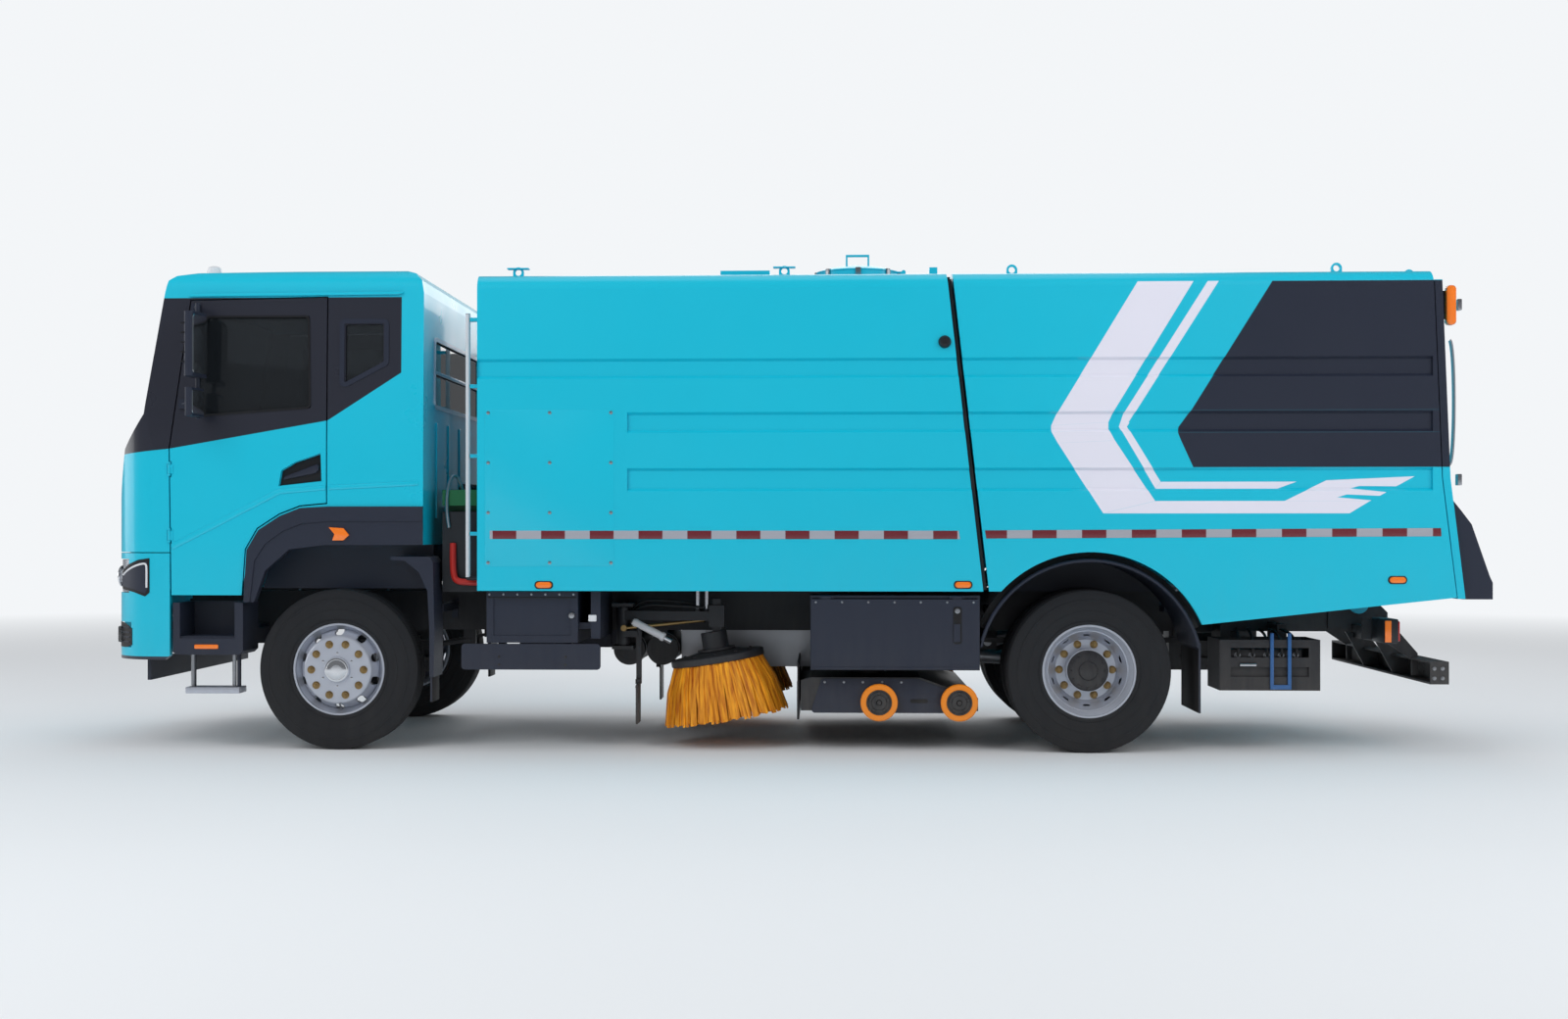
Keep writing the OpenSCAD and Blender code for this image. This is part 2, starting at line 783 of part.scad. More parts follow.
module front_bumper() {
    color(teal) difference() {
        union() {
            bumper_ring();
            // Hinge arms back to the tilt axis
            both_sides() side_slab(rail_x + 40, rail_x + 76) {
                translate([front_end + 40, tilt_z - 34]) square([tilt_y - front_end - 40, 68]);
                translate([tilt_y, tilt_z]) circle(r = 34);
            }
        }
        // Lamp recesses
        both_sides() block([640, 1130], [front_end - 20, -4090], [985, 1200]);
        // Grille slots
        for (z = [700, 790])
            block([-560, 560], [front_end - 20, front_end + 70], [z, z + 55]);
        both_sides() block([900, 1150], [front_end - 20, front_end + 140], [640, 800]);
        both_sides() translate([rail_x - 38, front_end - 10, rail_mid_z])
            rotate([-90, 0, 0]) cylinder(h = 120, r = 60);
        both_sides() cross_tube(rail_x + 30, rail_x + 90, tilt_y, tilt_z, hinge_pin_r + running_gap);
        // Cut-back lower rear corners, so that they clear the steps as the cab tilts
        side_prism(cab_w + 100)
            polygon([[door_front - 34, sill_z - 1], [door_front + 1, sill_z + 34],
                     [door_front + 1, sill_z - 1]]);
    }
}

module headlamps() {
    color(lamp_white) both_sides()
        intersection() {
            difference() {
                cab_envelope(8);
                cab_envelope(46);
            }
            block([646, 1124], [front_end - 20, -4096], [991, 1194]);
        }
}

module glass_layer(outer, inner) {
    intersection() {
        difference() {
            cab_envelope(outer);
            cab_envelope(inner);
        }
        children();
    }
}

module cab_glass() {
    color(glass_blue) {
        glass_layer(14, 26) front_slab(front_end - 20, -3880) windscreen_outline(-1);
        both_sides()
            glass_layer(14, 26) side_slab(cab_w / 2 - 130, cab_w / 2 + 30) quarter_window_outline(-1);
        front_slab(cab_rear - 26, cab_rear - 14)
            offset(r = 49) offset(delta = -50) translate([-850, 2180]) square([1700, 440]);
    }
}

// Dark wheel arch trim in two levels with a rolled lip, and the lip under the bumper.
module cab_trim() {
    color(dark) {
        block([-1040, 1040], [-4110, -4086], [425, 562]);
        both_sides() block([900, 960], [-4150, -4087], [555, 600]);
        both_sides() intersection() {
            cab_envelope(bumper_t);
            block([900, 960], [front_end, -4100], [sill_z + 1, 600]);
        }
    }
    color(dark) both_sides() {
        side_slab(cab_w / 2, cab_w / 2 + 16)
            polygon([[-3437, 930], [-3417, 1258], [-3343, 1383], [-3206, 1472], [-3078, 1522],
                     [door_rear + 8, 1532], [cab_rear, 1532], [cab_rear, 1440],
                     [door_rear, 1440], [-3070, 1424], [-3190, 1376], [-3300, 1296],
                     [-3368, 1190], [-3398, 930]]);
        side_slab(cab_w / 2, cab_w / 2 + 8)
            polygon([[-3399, 930], [-3369, 1189], [-3301, 1295], [-3191, 1375], [-3071, 1423],
                     [door_rear, 1441], [cab_rear, 1441], [cab_rear, arch_z - 1],
                     [-2926, arch_z - 1], [-3150, 1262], [-3300, 1130], [-3372, 930]]);
        side_slab(cab_w / 2 - 60, cab_w / 2 + 1)
            polygon([[-3437, 930], [-3437, 1071], [-3427, 1130], [-3330, arch_z], [-2926, arch_z],
                     [-3150, 1262], [-3300, 1130], [-3372, 930]]);
        // Inner wall of the wheel arch
        side_slab(arch_wall_x, arch_wall_x + 12)
            polygon([[-3410, arch_wall_z], [-3330, arch_z], [cab_rear, arch_z],
                     [cab_rear, arch_wall_z]]);
    }
}

module dashboard() {
    color(black) difference() {
        side_prism(2 * 1080)
            polygon([[-4130, 1180], [-4130, 1840], [-4060, 2010], [-3990, 2040], [-3850, 2010], [-3720, 1920],
                     [-3700, 1840], [-3860, 1700], [-3900, 1180]]);
        both_sides() block([1020, 1100], [-4200, -4040], [1100, 2100]);
        side_prism(1900)
            polygon([[-4100, 1200], [-4100, 1820], [-4040, 1940], [-3930, 1930], [-3930, 1200]]);
    }
    color(black) side_rod(wheel_hub[0], [-3800, 1750], [-3612, 1974], 26);
}

module seat(x) {
    translate([x, 0, 0]) {
        block([-245, 245], [-3330, -2830], [1560, 1680]);
        side_slab(-235, 235)
            polygon([[-2960, 1665], [-2830, 1620], [-2700, 2250], [-2730, 2290], [-2800, 2280]]);
        block([-150, 150], [-2790, -2710], [2300, 2460]);
        block([-40, 40], [-2760, -2735], [2260, 2310]);
        block([-180, 180], [-3250, -2900], [arch_z + 53, 1561]);
    }
}

module seats() {
    color(black) {
        seat(530);
        seat(-530);
    }
}

module steering_wheel() {
    color(black) translate(wheel_hub) rotate([-wheel_tilt, 0, 0]) {
        rotate_extrude() translate([215, 0]) circle(r = 16, $fn = 24);
        translate([0, 0, -24]) cylinder(h = 36, r = 62);
        for (a = [0, 120, 240])
            rotate([0, 0, a + 90]) translate([0, -16, -9]) cube([214, 32, 14]);
    }
}

module door_panel() {
    color(teal) difference() {
        intersection() {
            difference() {
                cab_envelope(0);
                cab_envelope(cab_wall + 16);
            }
            side_slab(cab_w / 2 - 200, cab_w / 2 + 30) door_outline(-door_gap);
        }
        side_slab(cab_w / 2 - 200, cab_w / 2 + 30) door_window_outline(0);
        // Recessed handle
        side_slab(cab_w / 2 - 26, cab_w / 2 + 30)
            polygon([[-3218, 1660], [-3200, 1760], [-3112, 1812], [-2950, 1868], [-2944, 1690]]);
        // Card pocket inside the door
        block([cab_w / 2 - 70, cab_w / 2 - 30], [-3780, -3300], [1120, 1400]);
        for (z = hinge_zs)
            translate([hinge_x, hinge_y, z - 20]) cylinder(h = hinge_h + 40, r = 15);
    }
    color(teal) for (z = hinge_zs)
        translate([hinge_x, hinge_y, z]) difference() {
            union() {
                cylinder(h = hinge_h, r = 9);
                block([-20, 0], [0, 24], [0, hinge_h]);
            }
            translate([0, 0, -1]) cylinder(h = hinge_h + 2, r = hinge_pin + running_gap);
        }
}

module door_left() door_panel();
module door_right() mirror([1, 0, 0]) door_panel();

module door_glass() {
    color(glass_blue)
        glass_layer(16, 24) side_slab(cab_w / 2 - 200, cab_w / 2 + 30) door_window_outline(-1);
}

module door_glass_left() door_glass();
module door_glass_right() mirror([1, 0, 0]) door_glass();

// A level rod between two points in plan.
module level_rod(a, b, z, r) {
    run = b - a;
    translate([a[0], a[1], z]) rotate([0, 90, atan2(run[1], run[0])]) cylinder(h = norm(run), r = r);
}

module mirror_set() {
    color(dark) {
        plan_slab(2335, 2735)
            offset(r = 20) offset(delta = -20)
                polygon([[1290, -3742], [1500, -3722], [1512, -3670], [1290, -3640]]);
        plan_slab(2090, 2265)
            offset(r = 16) offset(delta = -16)
                polygon([[1300, -3736], [1490, -3720], [1500, -3675], [1300, -3655]]);
        translate([1330, -3690, 2080]) cylinder(h = 720, r = 14);
        level_rod([1190, -3750], [1330, -3690], 2785, 13);
        level_rod([1205, -3826], [1330, -3690], 2180, 13);
        block([1173, 1200], [-3775, -3725], [2760, 2810]);
        block([1193, 1215], [-3850, -3802], [2150, 2210]);
    }
}

module mirror_left() mirror_set();
module mirror_right() mirror([1, 0, 0]) mirror_set();

// ---------- wheels and steering ----------

module knuckle() {
    color(frame_grey) difference() {
        union() {
            for (z = [412, 562])
                translate([kingpin_x, front_y, z]) cylinder(h = 38, r = 58);
            block([kingpin_x + 57, kingpin_x + 84], [front_y - 70, front_y + 70], [412, 600]);
            for (z = [412, 562])
                block([kingpin_x, kingpin_x + 60], [front_y - 56, front_y + 56], [z, z + 38]);
            cross_tube(kingpin_x + 60, kingpin_x + 82, front_y, tyre_r, 205);
            cross_tube(kingpin_x + 80, wheel_x + 95, front_y, tyre_r, 45);
            block([kingpin_x - 30, kingpin_x + 50], [front_y + 50, front_y + 210], [414, 444]);
        }
        translate([kingpin_x, front_y, 380]) cylinder(h = 240, r = kingpin_r + running_gap);
        translate([kingpin_x, front_y, 450]) cylinder(h = 112, r = 59);
    }
}

module knuckle_left() knuckle();
module knuckle_right() mirror([1, 0, 0]) knuckle();

// Tyre section as [radius, across], solid, with rounded shoulders and bulging walls.
module tyre_ring() {
    half = tyre_w / 2;
    rotate_extrude($fn = 96)
        polygon([[rim_r + 0.3, -half + 26], [rim_r + 40, -half + 10], [rim_r + 110, -half],
                 [tyre_r - 46, -half + 6], [tyre_r - 14, -half + 18], [tyre_r, -half + 42],
                 [tyre_r, half - 42], [tyre_r - 14, half - 18], [tyre_r - 46, half - 6],
                 [rim_r + 110, half], [rim_r + 40, half - 10], [rim_r + 0.3, half - 26]]);
}

module on_axle(x, y) {
    translate([x, y, tyre_r]) rotate([0, 90, 0]) children();
}

module tyre_front() {
    color(rubber) on_axle(wheel_x, front_y) tyre_ring();
}

module tyre_rear() {
    color(rubber) {
        on_axle(wheel_x, rear_y) tyre_ring();
        on_axle(wheel_x - twin_pitch, rear_y) tyre_ring();
    }
}

module tyre_front_left() tyre_front();
module tyre_front_right() mirror([1, 0, 0]) tyre_front();
module tyre_rear_left() tyre_rear();
module tyre_rear_right() mirror([1, 0, 0]) tyre_rear();

// Rim barrel as [radius, across]: two flanges and a drop centre, 12 thick.
module rim_barrel() {
    half = tyre_w / 2 - 26;
    rotate_extrude($fn = 96)
        polygon([[rim_r, -half], [rim_r, -half + 30], [rim_r - 26, -half + 60],
                 [rim_r - 26, half - 60], [rim_r, half - 30], [rim_r, half],
                 [rim_r - 12, half], [rim_r - 12, half - 26], [rim_r - 38, half - 56],
                 [rim_r - 38, -half + 56], [rim_r - 12, -half + 26], [rim_r - 12, -half]]);
}

// Ten oval hand holes through the wheel disc.
module hand_holes(x_low, x_high) {
    for (i = [0:9])
        rotate([0, 0, 36 * i]) translate([hand_hole_at, 0, x_low])
            linear_extrude(height = x_high - x_low) {
                for (y = [-9, 9])
                    translate([0, y]) circle(r = hand_hole_r, $fn = 32);
                translate([-hand_hole_r, -9]) square([2 * hand_hole_r, 18]);
            }
}

module rim_front() {
    color(steel) on_axle(wheel_x, front_y) {
        rim_barrel();
        difference() {
            rotate_extrude($fn = 96)
                polygon([[0, 172], [70, 172], [79, 166], [81, 150], [204, 148], [212, 142],
                         [240, 84], [253, 48], [253, 24], [240, 30], [226, 76], [198, 132],
                         [70, 132], [70, 150], [0, 150]]);
            hand_holes(20, 146);
        }
    }
}

module rim_rear() {
    color(steel) on_axle(wheel_x, rear_y) {
        rim_barrel();
        translate([0, 0, -twin_pitch]) rim_barrel();
        difference() {
            union() {
                rotate_extrude($fn = 96)
                    polygon([[100, -62], [190, -62], [206, -48], [246, 34], [253, 36], [253, 20],
                             [222, -50], [192, -78], [100, -78]]);
                rotate_extrude($fn = 96)
                    polygon([[100, -78], [192, -78], [222, -106], [253, -twin_pitch + 76],
                             [253, -twin_pitch + 56], [246, -twin_pitch + 58], [206, -110],
                             [190, -94], [100, -94]]);
                translate([0, 0, -190]) cylinder(h = 230, r = 132);
                translate([0, 0, -240]) cylinder(h = 60, r = 110);
            }
            hand_holes(-130, -10);
            translate([0, 0, -320]) cylinder(h = 150, r = 72);
        }
    }
}

module rim_front_left() rim_front();
module rim_front_right() mirror([1, 0, 0]) rim_front();
module rim_rear_left() rim_rear();
module rim_rear_right() mirror([1, 0, 0]) rim_rear();

// ---------- hopper ----------

module hopper_side_outline() {
    difference() {
        polygon([[seam_y(700) + seam_gap, 700], [seam_y(3100) + seam_gap, 3100],
                 [hopper_rear_top - 10, 3100], [hopper_rear_top, body_top - 40], [3995, 1700],
                 [hopper_rear_bottom, 970], [2531, 800], [1900, 740]]);
        translate([rear_y, tyre_r]) circle(r = hopper_arch_r, $fn = 96);
        translate([1000, 500]) square([400, body_bottom - 500]);
    }
}

module hopper_inner_outline() {
    polygon([[seam_y(1282) + seam_gap + body_wall, hopper_floor_front + 50],
             [seam_y(3000) + seam_gap + body_wall, 3000], [3960, 3000], [3900, 2900],
             [4010, 1700], [4120, hopper_floor_rear + 50], [3200, hopper_floor_rear + 50],
             [2700, hopper_floor_front + 50]]);
}

module hopper_shell() {
    color(teal) difference() {
        union() {
            difference() {
                intersection() {
                    side_prism(body_w) hopper_side_outline();
                    front_slab(900, 4300) body_outline(0);
                }
                // Space under the floor, between the side skins
                side_prism(body_w - 72)
                    polygon([[900, 600], [900, hopper_floor_front], [2690, hopper_floor_front],
                             [3190, hopper_floor_rear], [4200, hopper_floor_rear], [4200, 600]]);
                both_sides() for (row = recess_rows) recess_bar(900, 3940, row);
            }
            both_sides() for (x = [674, 826])
                side_slab(x, x + 20) difference() {
                    union() {
                        translate([gate_hinge_y, gate_hinge_z]) circle(r = 30);
                        translate([gate_hinge_y - 30, body_top - 20])
                            square([60, gate_hinge_z - body_top + 20]);
                    }
                    translate([gate_hinge_y, gate_hinge_z]) circle(r = 16 + running_gap);
                }
            both_sides() {
                // Pivot ears and ram ears under the floor
                side_slab(rail_x + 24, rail_x + 54) difference() {
                    union() {
                        translate([tip_y, tip_z]) circle(r = 62);
                        translate([tip_y - 62, tip_z]) square([124, 130]);
                    }
                    translate([tip_y, tip_z]) circle(r = pivot_pin_r - 1);
                }
                cross_tube(rail_x - 30, rail_x + 50, tip_y, tip_z, pivot_pin_r);
                for (x = [ram_x - 60, ram_x + 40])
                    side_slab(x, x + 20) difference() {
                        polygon([[ram_eye[0] - 70, hopper_floor_front + 2],
                                 [ram_eye[0] - 40, ram_eye[1] - 40], [ram_eye[0] + 40, ram_eye[1] - 40],
                                 [ram_eye[0] + 70, hopper_floor_front + 2]]);
                        translate(ram_eye) circle(r = 22);
                    }
            }
        }
        intersection() {
            front_slab(900, 4300) body_outline(body_wall);
            side_prism(body_w) hopper_inner_outline();
        }
    }
}

module hopper_lifting_eyes() {
    color(teal) both_sides() for (y = eye_ys_hopper) lifting_eye(y);
}

// Tailgate outline as [y, z]: a plate that follows the hopper's rear edge.
module gate_line(out, z_low) {
    polygon([[hopper_rear_top + gate_gap, body_top - 60], [3995 + gate_gap, 1700],
             [hopper_rear_bottom + gate_gap, z_low], [hopper_rear_bottom + gate_gap + out, z_low],
             [3995 + gate_gap + out, 1700], [hopper_rear_top + gate_gap + out, body_top - 60]]);
}

module tailgate() {
    color(teal) {
        difference() {
            side_prism(body_w - 14) gate_line(gate_t, 962);
            // Pressed field in the middle of the gate
            intersection() {
                side_prism(1900) translate([24, 0]) gate_line(gate_t, 900);
                block([-950, 950], [3900, 4300], [1750, 2700]);
            }
        }
        both_sides() {
            block([700, 820], [hopper_rear_top + gate_gap + 10, 3990], [body_top - 80, body_top + 8]);
            block([700, 820], [gate_hinge_y, 3990], [body_top + 6, body_top + 30]);
            cross_tube(672, 848, gate_hinge_y, gate_hinge_z, 16);
        }
    }
}

module tail_fairing() {
    color(dark) difference() {
        side_prism(body_w - 100)
            polygon([[hopper_rear_bottom - 78 + gate_t + gate_gap + 12, 1572], [4130, 1500],
                     [4190, 1420], [4300, 1100], [4318, 1060], [4318, 958],
                     [hopper_rear_bottom + gate_gap + gate_t + 1, 958],
                     [hopper_rear_bottom + gate_gap + gate_t - 14, 1100],
                     [hopper_rear_bottom + gate_gap + gate_t - 46, 1350]]);
        block([-900, 900], [4150, 4290], [900, 1040]);
        both_sides() block([700, 1130], [4230, 4330], [1110, 1300]);
    }
}

// Children stand on the ram's base pin, along the ram.
module along_ram() {
    both_sides() translate([ram_x, ram_base[0], ram_base[1]])
        rotate([-atan2(ram_run[0], ram_run[1]), 0, 0]) children();
}

module tip_barrels() {
    color(steel) {
        along_ram() difference() {
            union() {
                translate([0, 0, 20]) cylinder(h = ram_barrel - 20, r = 48);
                translate([-30, 0, 0]) rotate([0, 90, 0]) cylinder(h = 60, r = 44);
            }
            translate([0, 0, 80]) cylinder(h = ram_barrel, r = ram_rod_r + running_gap);
        }
        cross_tube(-rail_x + 74, rail_x - 74, ram_base[0], ram_base[1], ram_pin_r);
    }
}

module tip_rods() {
    color(lamp_white) along_ram() {
        translate([0, 0, 500]) cylinder(h = norm(ram_run) - 540, r = ram_rod_r);
        difference() {
            translate([-28, 0, norm(ram_run)]) rotate([0, 90, 0]) cylinder(h = 56, r = 44);
            translate([-40, 0, norm(ram_run)]) rotate([0, 90, 0]) cylinder(h = 80, r = 22);
        }
    }
}

module roof_hatch() {
    color(teal) translate([0, hatch_y, hatch_seat_z + 1]) {
        rotate_extrude($fn = 96)
            polygon([[0, 30], [0, 46], [150, 42], [230, 26], [hatch_r + 26, 8],
                     [hatch_r + 26, 0], [hatch_r - 10, 0], [210, 12]]);
        side_slab(-41, 41) difference() {
            union() {
                translate([hatch_r + 10, 2]) square([hatch_axis_y - hatch_r - 12, 12]);
                translate([hatch_axis_y, hatch_axis_z - hatch_seat_z - 1]) circle(r = 14);
            }
            translate([hatch_axis_y, hatch_axis_z - hatch_seat_z - 1]) circle(r = hatch_pin_r + running_gap);
        }
        for (y = [-80, 68])
            block([-10, 10], [y, y + 12], [30, 128]);
        block([-10, 10], [-80, 80], [120, 134]);
    }
}

// ---------- sweeping gear ----------

module brush_arm() {
    color(black) {
        translate([arm_x, arm_y, 604]) cylinder(h = 310, r = 26);
        translate([arm_x, arm_y, 640]) cylinder(h = 238, r = 44);
        difference() {
            union() {
                hull() {
                    translate([arm_x, arm_y, 800]) cylinder(h = 60, r = 40, $fn = 32);
                    translate([brush_x, brush_y - 40, 800]) cylinder(h = 60, r = 40, $fn = 32);
                }
                translate([brush_x - 50, brush_y - 50, 760]) cube([100, 100, 140]);
            }
            translate([brush_x - 30, brush_y - 30, 700]) cube([60, 60, 260]);
        }
        // Splash guard in front of the brush
        block([arm_x + 90, arm_x + 310], [-980, -968], [150, 400]);
        block([arm_x + 50, arm_x + 120], [-1000, -966], [390, 420]);
        block([arm_x + 40, arm_x + 70], [-1000, -966], [390, 700]);
        block([arm_x + 10, arm_x + 70], [arm_y, -966], [690, 730]);
        // Guide rods over the brush, and the cylinder and link beside the arm
        for (y = [-600, -540])
            translate([arm_x + 92, y, 850]) cylinder(h = 146, r = 14);
        side_rod(arm_x + 62, [-1030, 797], [-772, 664], 20);
        side_rod(arm_x + 62, [-990, 776], [-980, 700], 12);
        side_rod(arm_x + 56, [-1084, 748], [brush_y - 80, 800], 9);
    }
}

module brush_head() {
    color(steel) {
        translate([brush_x - 27, brush_y - 27, 700]) cube([54, 54, 240]);
        translate([brush_x, brush_y, brush_z]) rotate([brush_lean, 0, 0]) {
            translate([0, 0, 22]) cylinder(h = 120, r = 84);
            translate([0, 0, 22]) cylinder(h = 14, r = 120);
        }
    }
}

module side_brush() {
    translate([brush_x, brush_y, brush_z]) rotate([brush_lean, 0, 0]) {
        color(steel) rotate_extrude($fn = 96)
            polygon([[0, -14], [0, 16], [90, 16], [296, -6], [300, -10], [300, -46], [180, -46],
                     [170, -30], [60, -14]]);
        color(bristle_orange) rotate_extrude($fn = 96)
            polygon([[180, -45], [298, -45], [352, -200], [brush_r, -400], [brush_r - 60, -410],
                     [brush_r - 150, -410], [240, -200]]);
    }
}

module brush_arm_left() brush_arm();
module brush_arm_right() mirror([1, 0, 0]) brush_arm();
module brush_head_left() brush_head();
module brush_head_right() mirror([1, 0, 0]) brush_head();
module brush_left() side_brush();
module brush_right() mirror([1, 0, 0]) side_brush();

module suction_nozzle() {
    color(dark) difference() {
        union() {
            side_prism(2 * nozzle_half)
                polygon([[nozzle_front, 250], [nozzle_front, 440], [nozzle_front + 60, nozzle_top - 20],
                         [nozzle_rear - 360, nozzle_top - 20], [nozzle_rear, 330], [nozzle_rear, 250]]);
            block([-nozzle_half - 6, nozzle_half + 6], [nozzle_front - 24, nozzle_front - 10],
                  [nozzle_flap_z, 430]);
            block([-600, 600], [nozzle_front - 12, nozzle_front + 2], [340, 420]);
            both_sides() translate([pipe_x, pipe_y, 400]) cylinder(h = 425, r = pipe_r - 9);
        }
        side_prism(2 * nozzle_half - 30)
            polygon([[nozzle_front + 14, 200], [nozzle_front + 14, 430], [nozzle_front + 64, nozzle_top - 36],
                     [nozzle_rear - 366, nozzle_top - 36], [nozzle_rear - 14, 318],
                     [nozzle_rear - 14, 200]]);
        both_sides() translate([pipe_x, pipe_y, 380]) cylinder(h = 460, r = pipe_r - 21);
    }
    // Wheel carriers, each with its stub axle
    color(dark) both_sides()
        for (y = caster_ys) {
            block([nozzle_half - 4, nozzle_half + 12], [y - 26, y + 26], [caster_z - 30, 345]);
            cross_tube(nozzle_half + 10, nozzle_half + 66, y, caster_z, 14);
        }
}

// A support wheel outside the nozzle's end.
module nozzle_wheel(y) {
    color(bristle_orange) difference() {
        cross_tube(nozzle_half + 16, nozzle_half + 60, y, caster_z, caster_r);
        cross_tube(nozzle_half, nozzle_half + 70, y, caster_z, 14 + running_gap);
    }
}

module nozzle_wheel_front_left() nozzle_wheel(caster_ys[0]);
module nozzle_wheel_front_right() mirror([1, 0, 0]) nozzle_wheel(caster_ys[0]);
module nozzle_wheel_rear_left() nozzle_wheel(caster_ys[1]);
module nozzle_wheel_rear_right() mirror([1, 0, 0]) nozzle_wheel(caster_ys[1]);

module locker_lid() {
    color(dark) difference() {
        union() {
            block([locker_x[1] + 2, locker_x[1] + 2 + lid_t], [locker_y[0] + 4, locker_y[1] - 4],
                  [locker_z[0] + 2, lid_axis_z - 14]);
            block([locker_x[1] + 2 + lid_t - 1, locker_x[1] + 12 + lid_t], [1020, 1060], [690, 800]);
            for (y = lid_hinge_ys)
                translate([0, y + 30, 0]) rotate([90, 0, 0]) linear_extrude(height = 60) {
                    translate([lid_axis_x, lid_axis_z]) circle(r = 10);
                    translate([lid_axis_x - 10, lid_axis_z - 16]) square([8, 16]);
                }
        }
        for (y = lid_hinge_ys)
            translate([lid_axis_x, y + 40, lid_axis_z]) rotate([90, 0, 0])
                cylinder(h = 80, r = lid_pin_r + running_gap);
    }
}

module locker_lid_left() locker_lid();
module locker_lid_right() mirror([1, 0, 0]) locker_lid();

chassis_frame();
axles();
leaf_springs();
drive_motor();
battery_boxes();
cab_steps();
mudguards();
side_guards();
air_tanks();
underrun_bar();
towing_and_lifting_points();
sweeper_body();
power_unit();
lockers();
equipment_trays();
pipework();
cab_shell();
front_bumper();
headlamps();
cab_glass();
cab_trim();
dashboard();
seats();
steering_wheel();
door_left();
door_right();
door_glass_left();
door_glass_right();
mirror_left();
mirror_right();
knuckle_left();
knuckle_right();
tyre_front_left();
tyre_front_right();
tyre_rear_left();
tyre_rear_right();
rim_front_left();
rim_front_right();
rim_rear_left();
rim_rear_right();
hopper_shell();
hopper_lifting_eyes();
tailgate();
tail_fairing();
tip_barrels();
tip_rods();
roof_hatch();
brush_arm_left();
brush_arm_right();
brush_head_left();
brush_head_right();
brush_left();
brush_right();
suction_nozzle();
nozzle_wheel_front_left();
nozzle_wheel_front_right();
nozzle_wheel_rear_left();
nozzle_wheel_rear_right();
locker_lid_left();
locker_lid_right();
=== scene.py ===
import json
import math
import random

import bmesh
import bpy
from mathutils import Matrix, Vector
from mathutils.bvhtree import BVHTree


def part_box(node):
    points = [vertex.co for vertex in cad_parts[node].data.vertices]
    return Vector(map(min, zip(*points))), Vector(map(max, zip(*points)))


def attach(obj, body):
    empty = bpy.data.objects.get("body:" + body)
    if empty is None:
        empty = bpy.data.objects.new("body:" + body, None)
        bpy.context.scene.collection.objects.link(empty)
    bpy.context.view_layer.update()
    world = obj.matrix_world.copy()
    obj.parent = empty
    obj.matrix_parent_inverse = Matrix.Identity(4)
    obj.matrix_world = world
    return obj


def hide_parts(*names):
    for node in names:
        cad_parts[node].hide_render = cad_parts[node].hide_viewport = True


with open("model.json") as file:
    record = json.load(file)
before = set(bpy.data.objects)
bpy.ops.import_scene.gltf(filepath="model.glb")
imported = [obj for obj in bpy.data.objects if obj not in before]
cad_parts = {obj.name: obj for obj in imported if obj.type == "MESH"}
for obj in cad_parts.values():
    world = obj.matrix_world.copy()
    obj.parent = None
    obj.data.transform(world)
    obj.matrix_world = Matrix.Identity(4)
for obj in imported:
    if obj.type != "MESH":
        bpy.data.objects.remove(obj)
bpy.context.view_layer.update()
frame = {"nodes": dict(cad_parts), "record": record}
dice = random.Random(7)

# ---------- camera, light and floor ----------


def look_along(location, aim):
    """Euler turn of a camera or lamp that looks along aim."""
    return Vector(aim).to_track_quat("-Z", "Y").to_euler()


bpy.ops.object.camera_add(location=(13.24, 0.223, 1.39), rotation=look_along(None, (-1, -0.0419, 0)))
camera = bpy.context.object
camera.data.lens = 44.37
camera.data.sensor_width = 36
camera.data.shift_x = 0.0254
camera.data.shift_y = 0.0125
camera.data.clip_end = 300
bpy.context.scene.camera = camera

for place, size, power in [
    ((9, -6, 7), 7, 440), ((8, 7, 6), 7, 330), ((-9, 1, 7), 8, 380), ((0, -12, 4), 6, 220), ((0, 12, 4), 6, 220),
    ((0, 0, 11), 8, 170),
]:
    aim = Vector((0, 0, 1.2)) - Vector(place)
    bpy.ops.object.light_add(type="AREA", location=place, rotation=look_along(None, aim))
    bpy.context.object.data.size = size
    bpy.context.object.data.energy = power
    bpy.context.object.visible_glossy = place[0] < 5

view = bpy.context.scene.view_settings
view.view_transform = "Standard"


def studio_world():
    """White to the camera, a softer white as light, and dimmer still in gloss."""
    world = bpy.data.worlds.new("studio")
    bpy.context.scene.world = world
    world.use_nodes = True
    nodes, links = world.node_tree.nodes, world.node_tree.links
    nodes.clear()
    out = nodes.new("ShaderNodeOutputWorld")
    light, seen = nodes.new("ShaderNodeBackground"), nodes.new("ShaderNodeBackground")
    light.inputs["Color"].default_value = (0.93, 0.96, 1.0, 1)
    light.inputs["Strength"].default_value = 0.42
    seen.inputs["Color"].default_value = (0.90, 0.92, 0.94, 1)
    path, mix = nodes.new("ShaderNodeLightPath"), nodes.new("ShaderNodeMixShader")
    gloss, dim = nodes.new("ShaderNodeBackground"), nodes.new("ShaderNodeMixShader")
    gloss.inputs["Color"].default_value = (0.93, 0.96, 1.0, 1)
    gloss.inputs["Strength"].default_value = 0.20
    links.new(path.outputs["Is Glossy Ray"], dim.inputs[0])
    links.new(light.outputs[0], dim.inputs[1])
    links.new(gloss.outputs[0], dim.inputs[2])
    links.new(path.outputs["Is Camera Ray"], mix.inputs[0])
    links.new(dim.outputs[0], mix.inputs[1])
    links.new(seen.outputs[0], mix.inputs[2])
    links.new(mix.outputs[0], out.inputs["Surface"])


studio_world()

# ---------- shader groups ----------


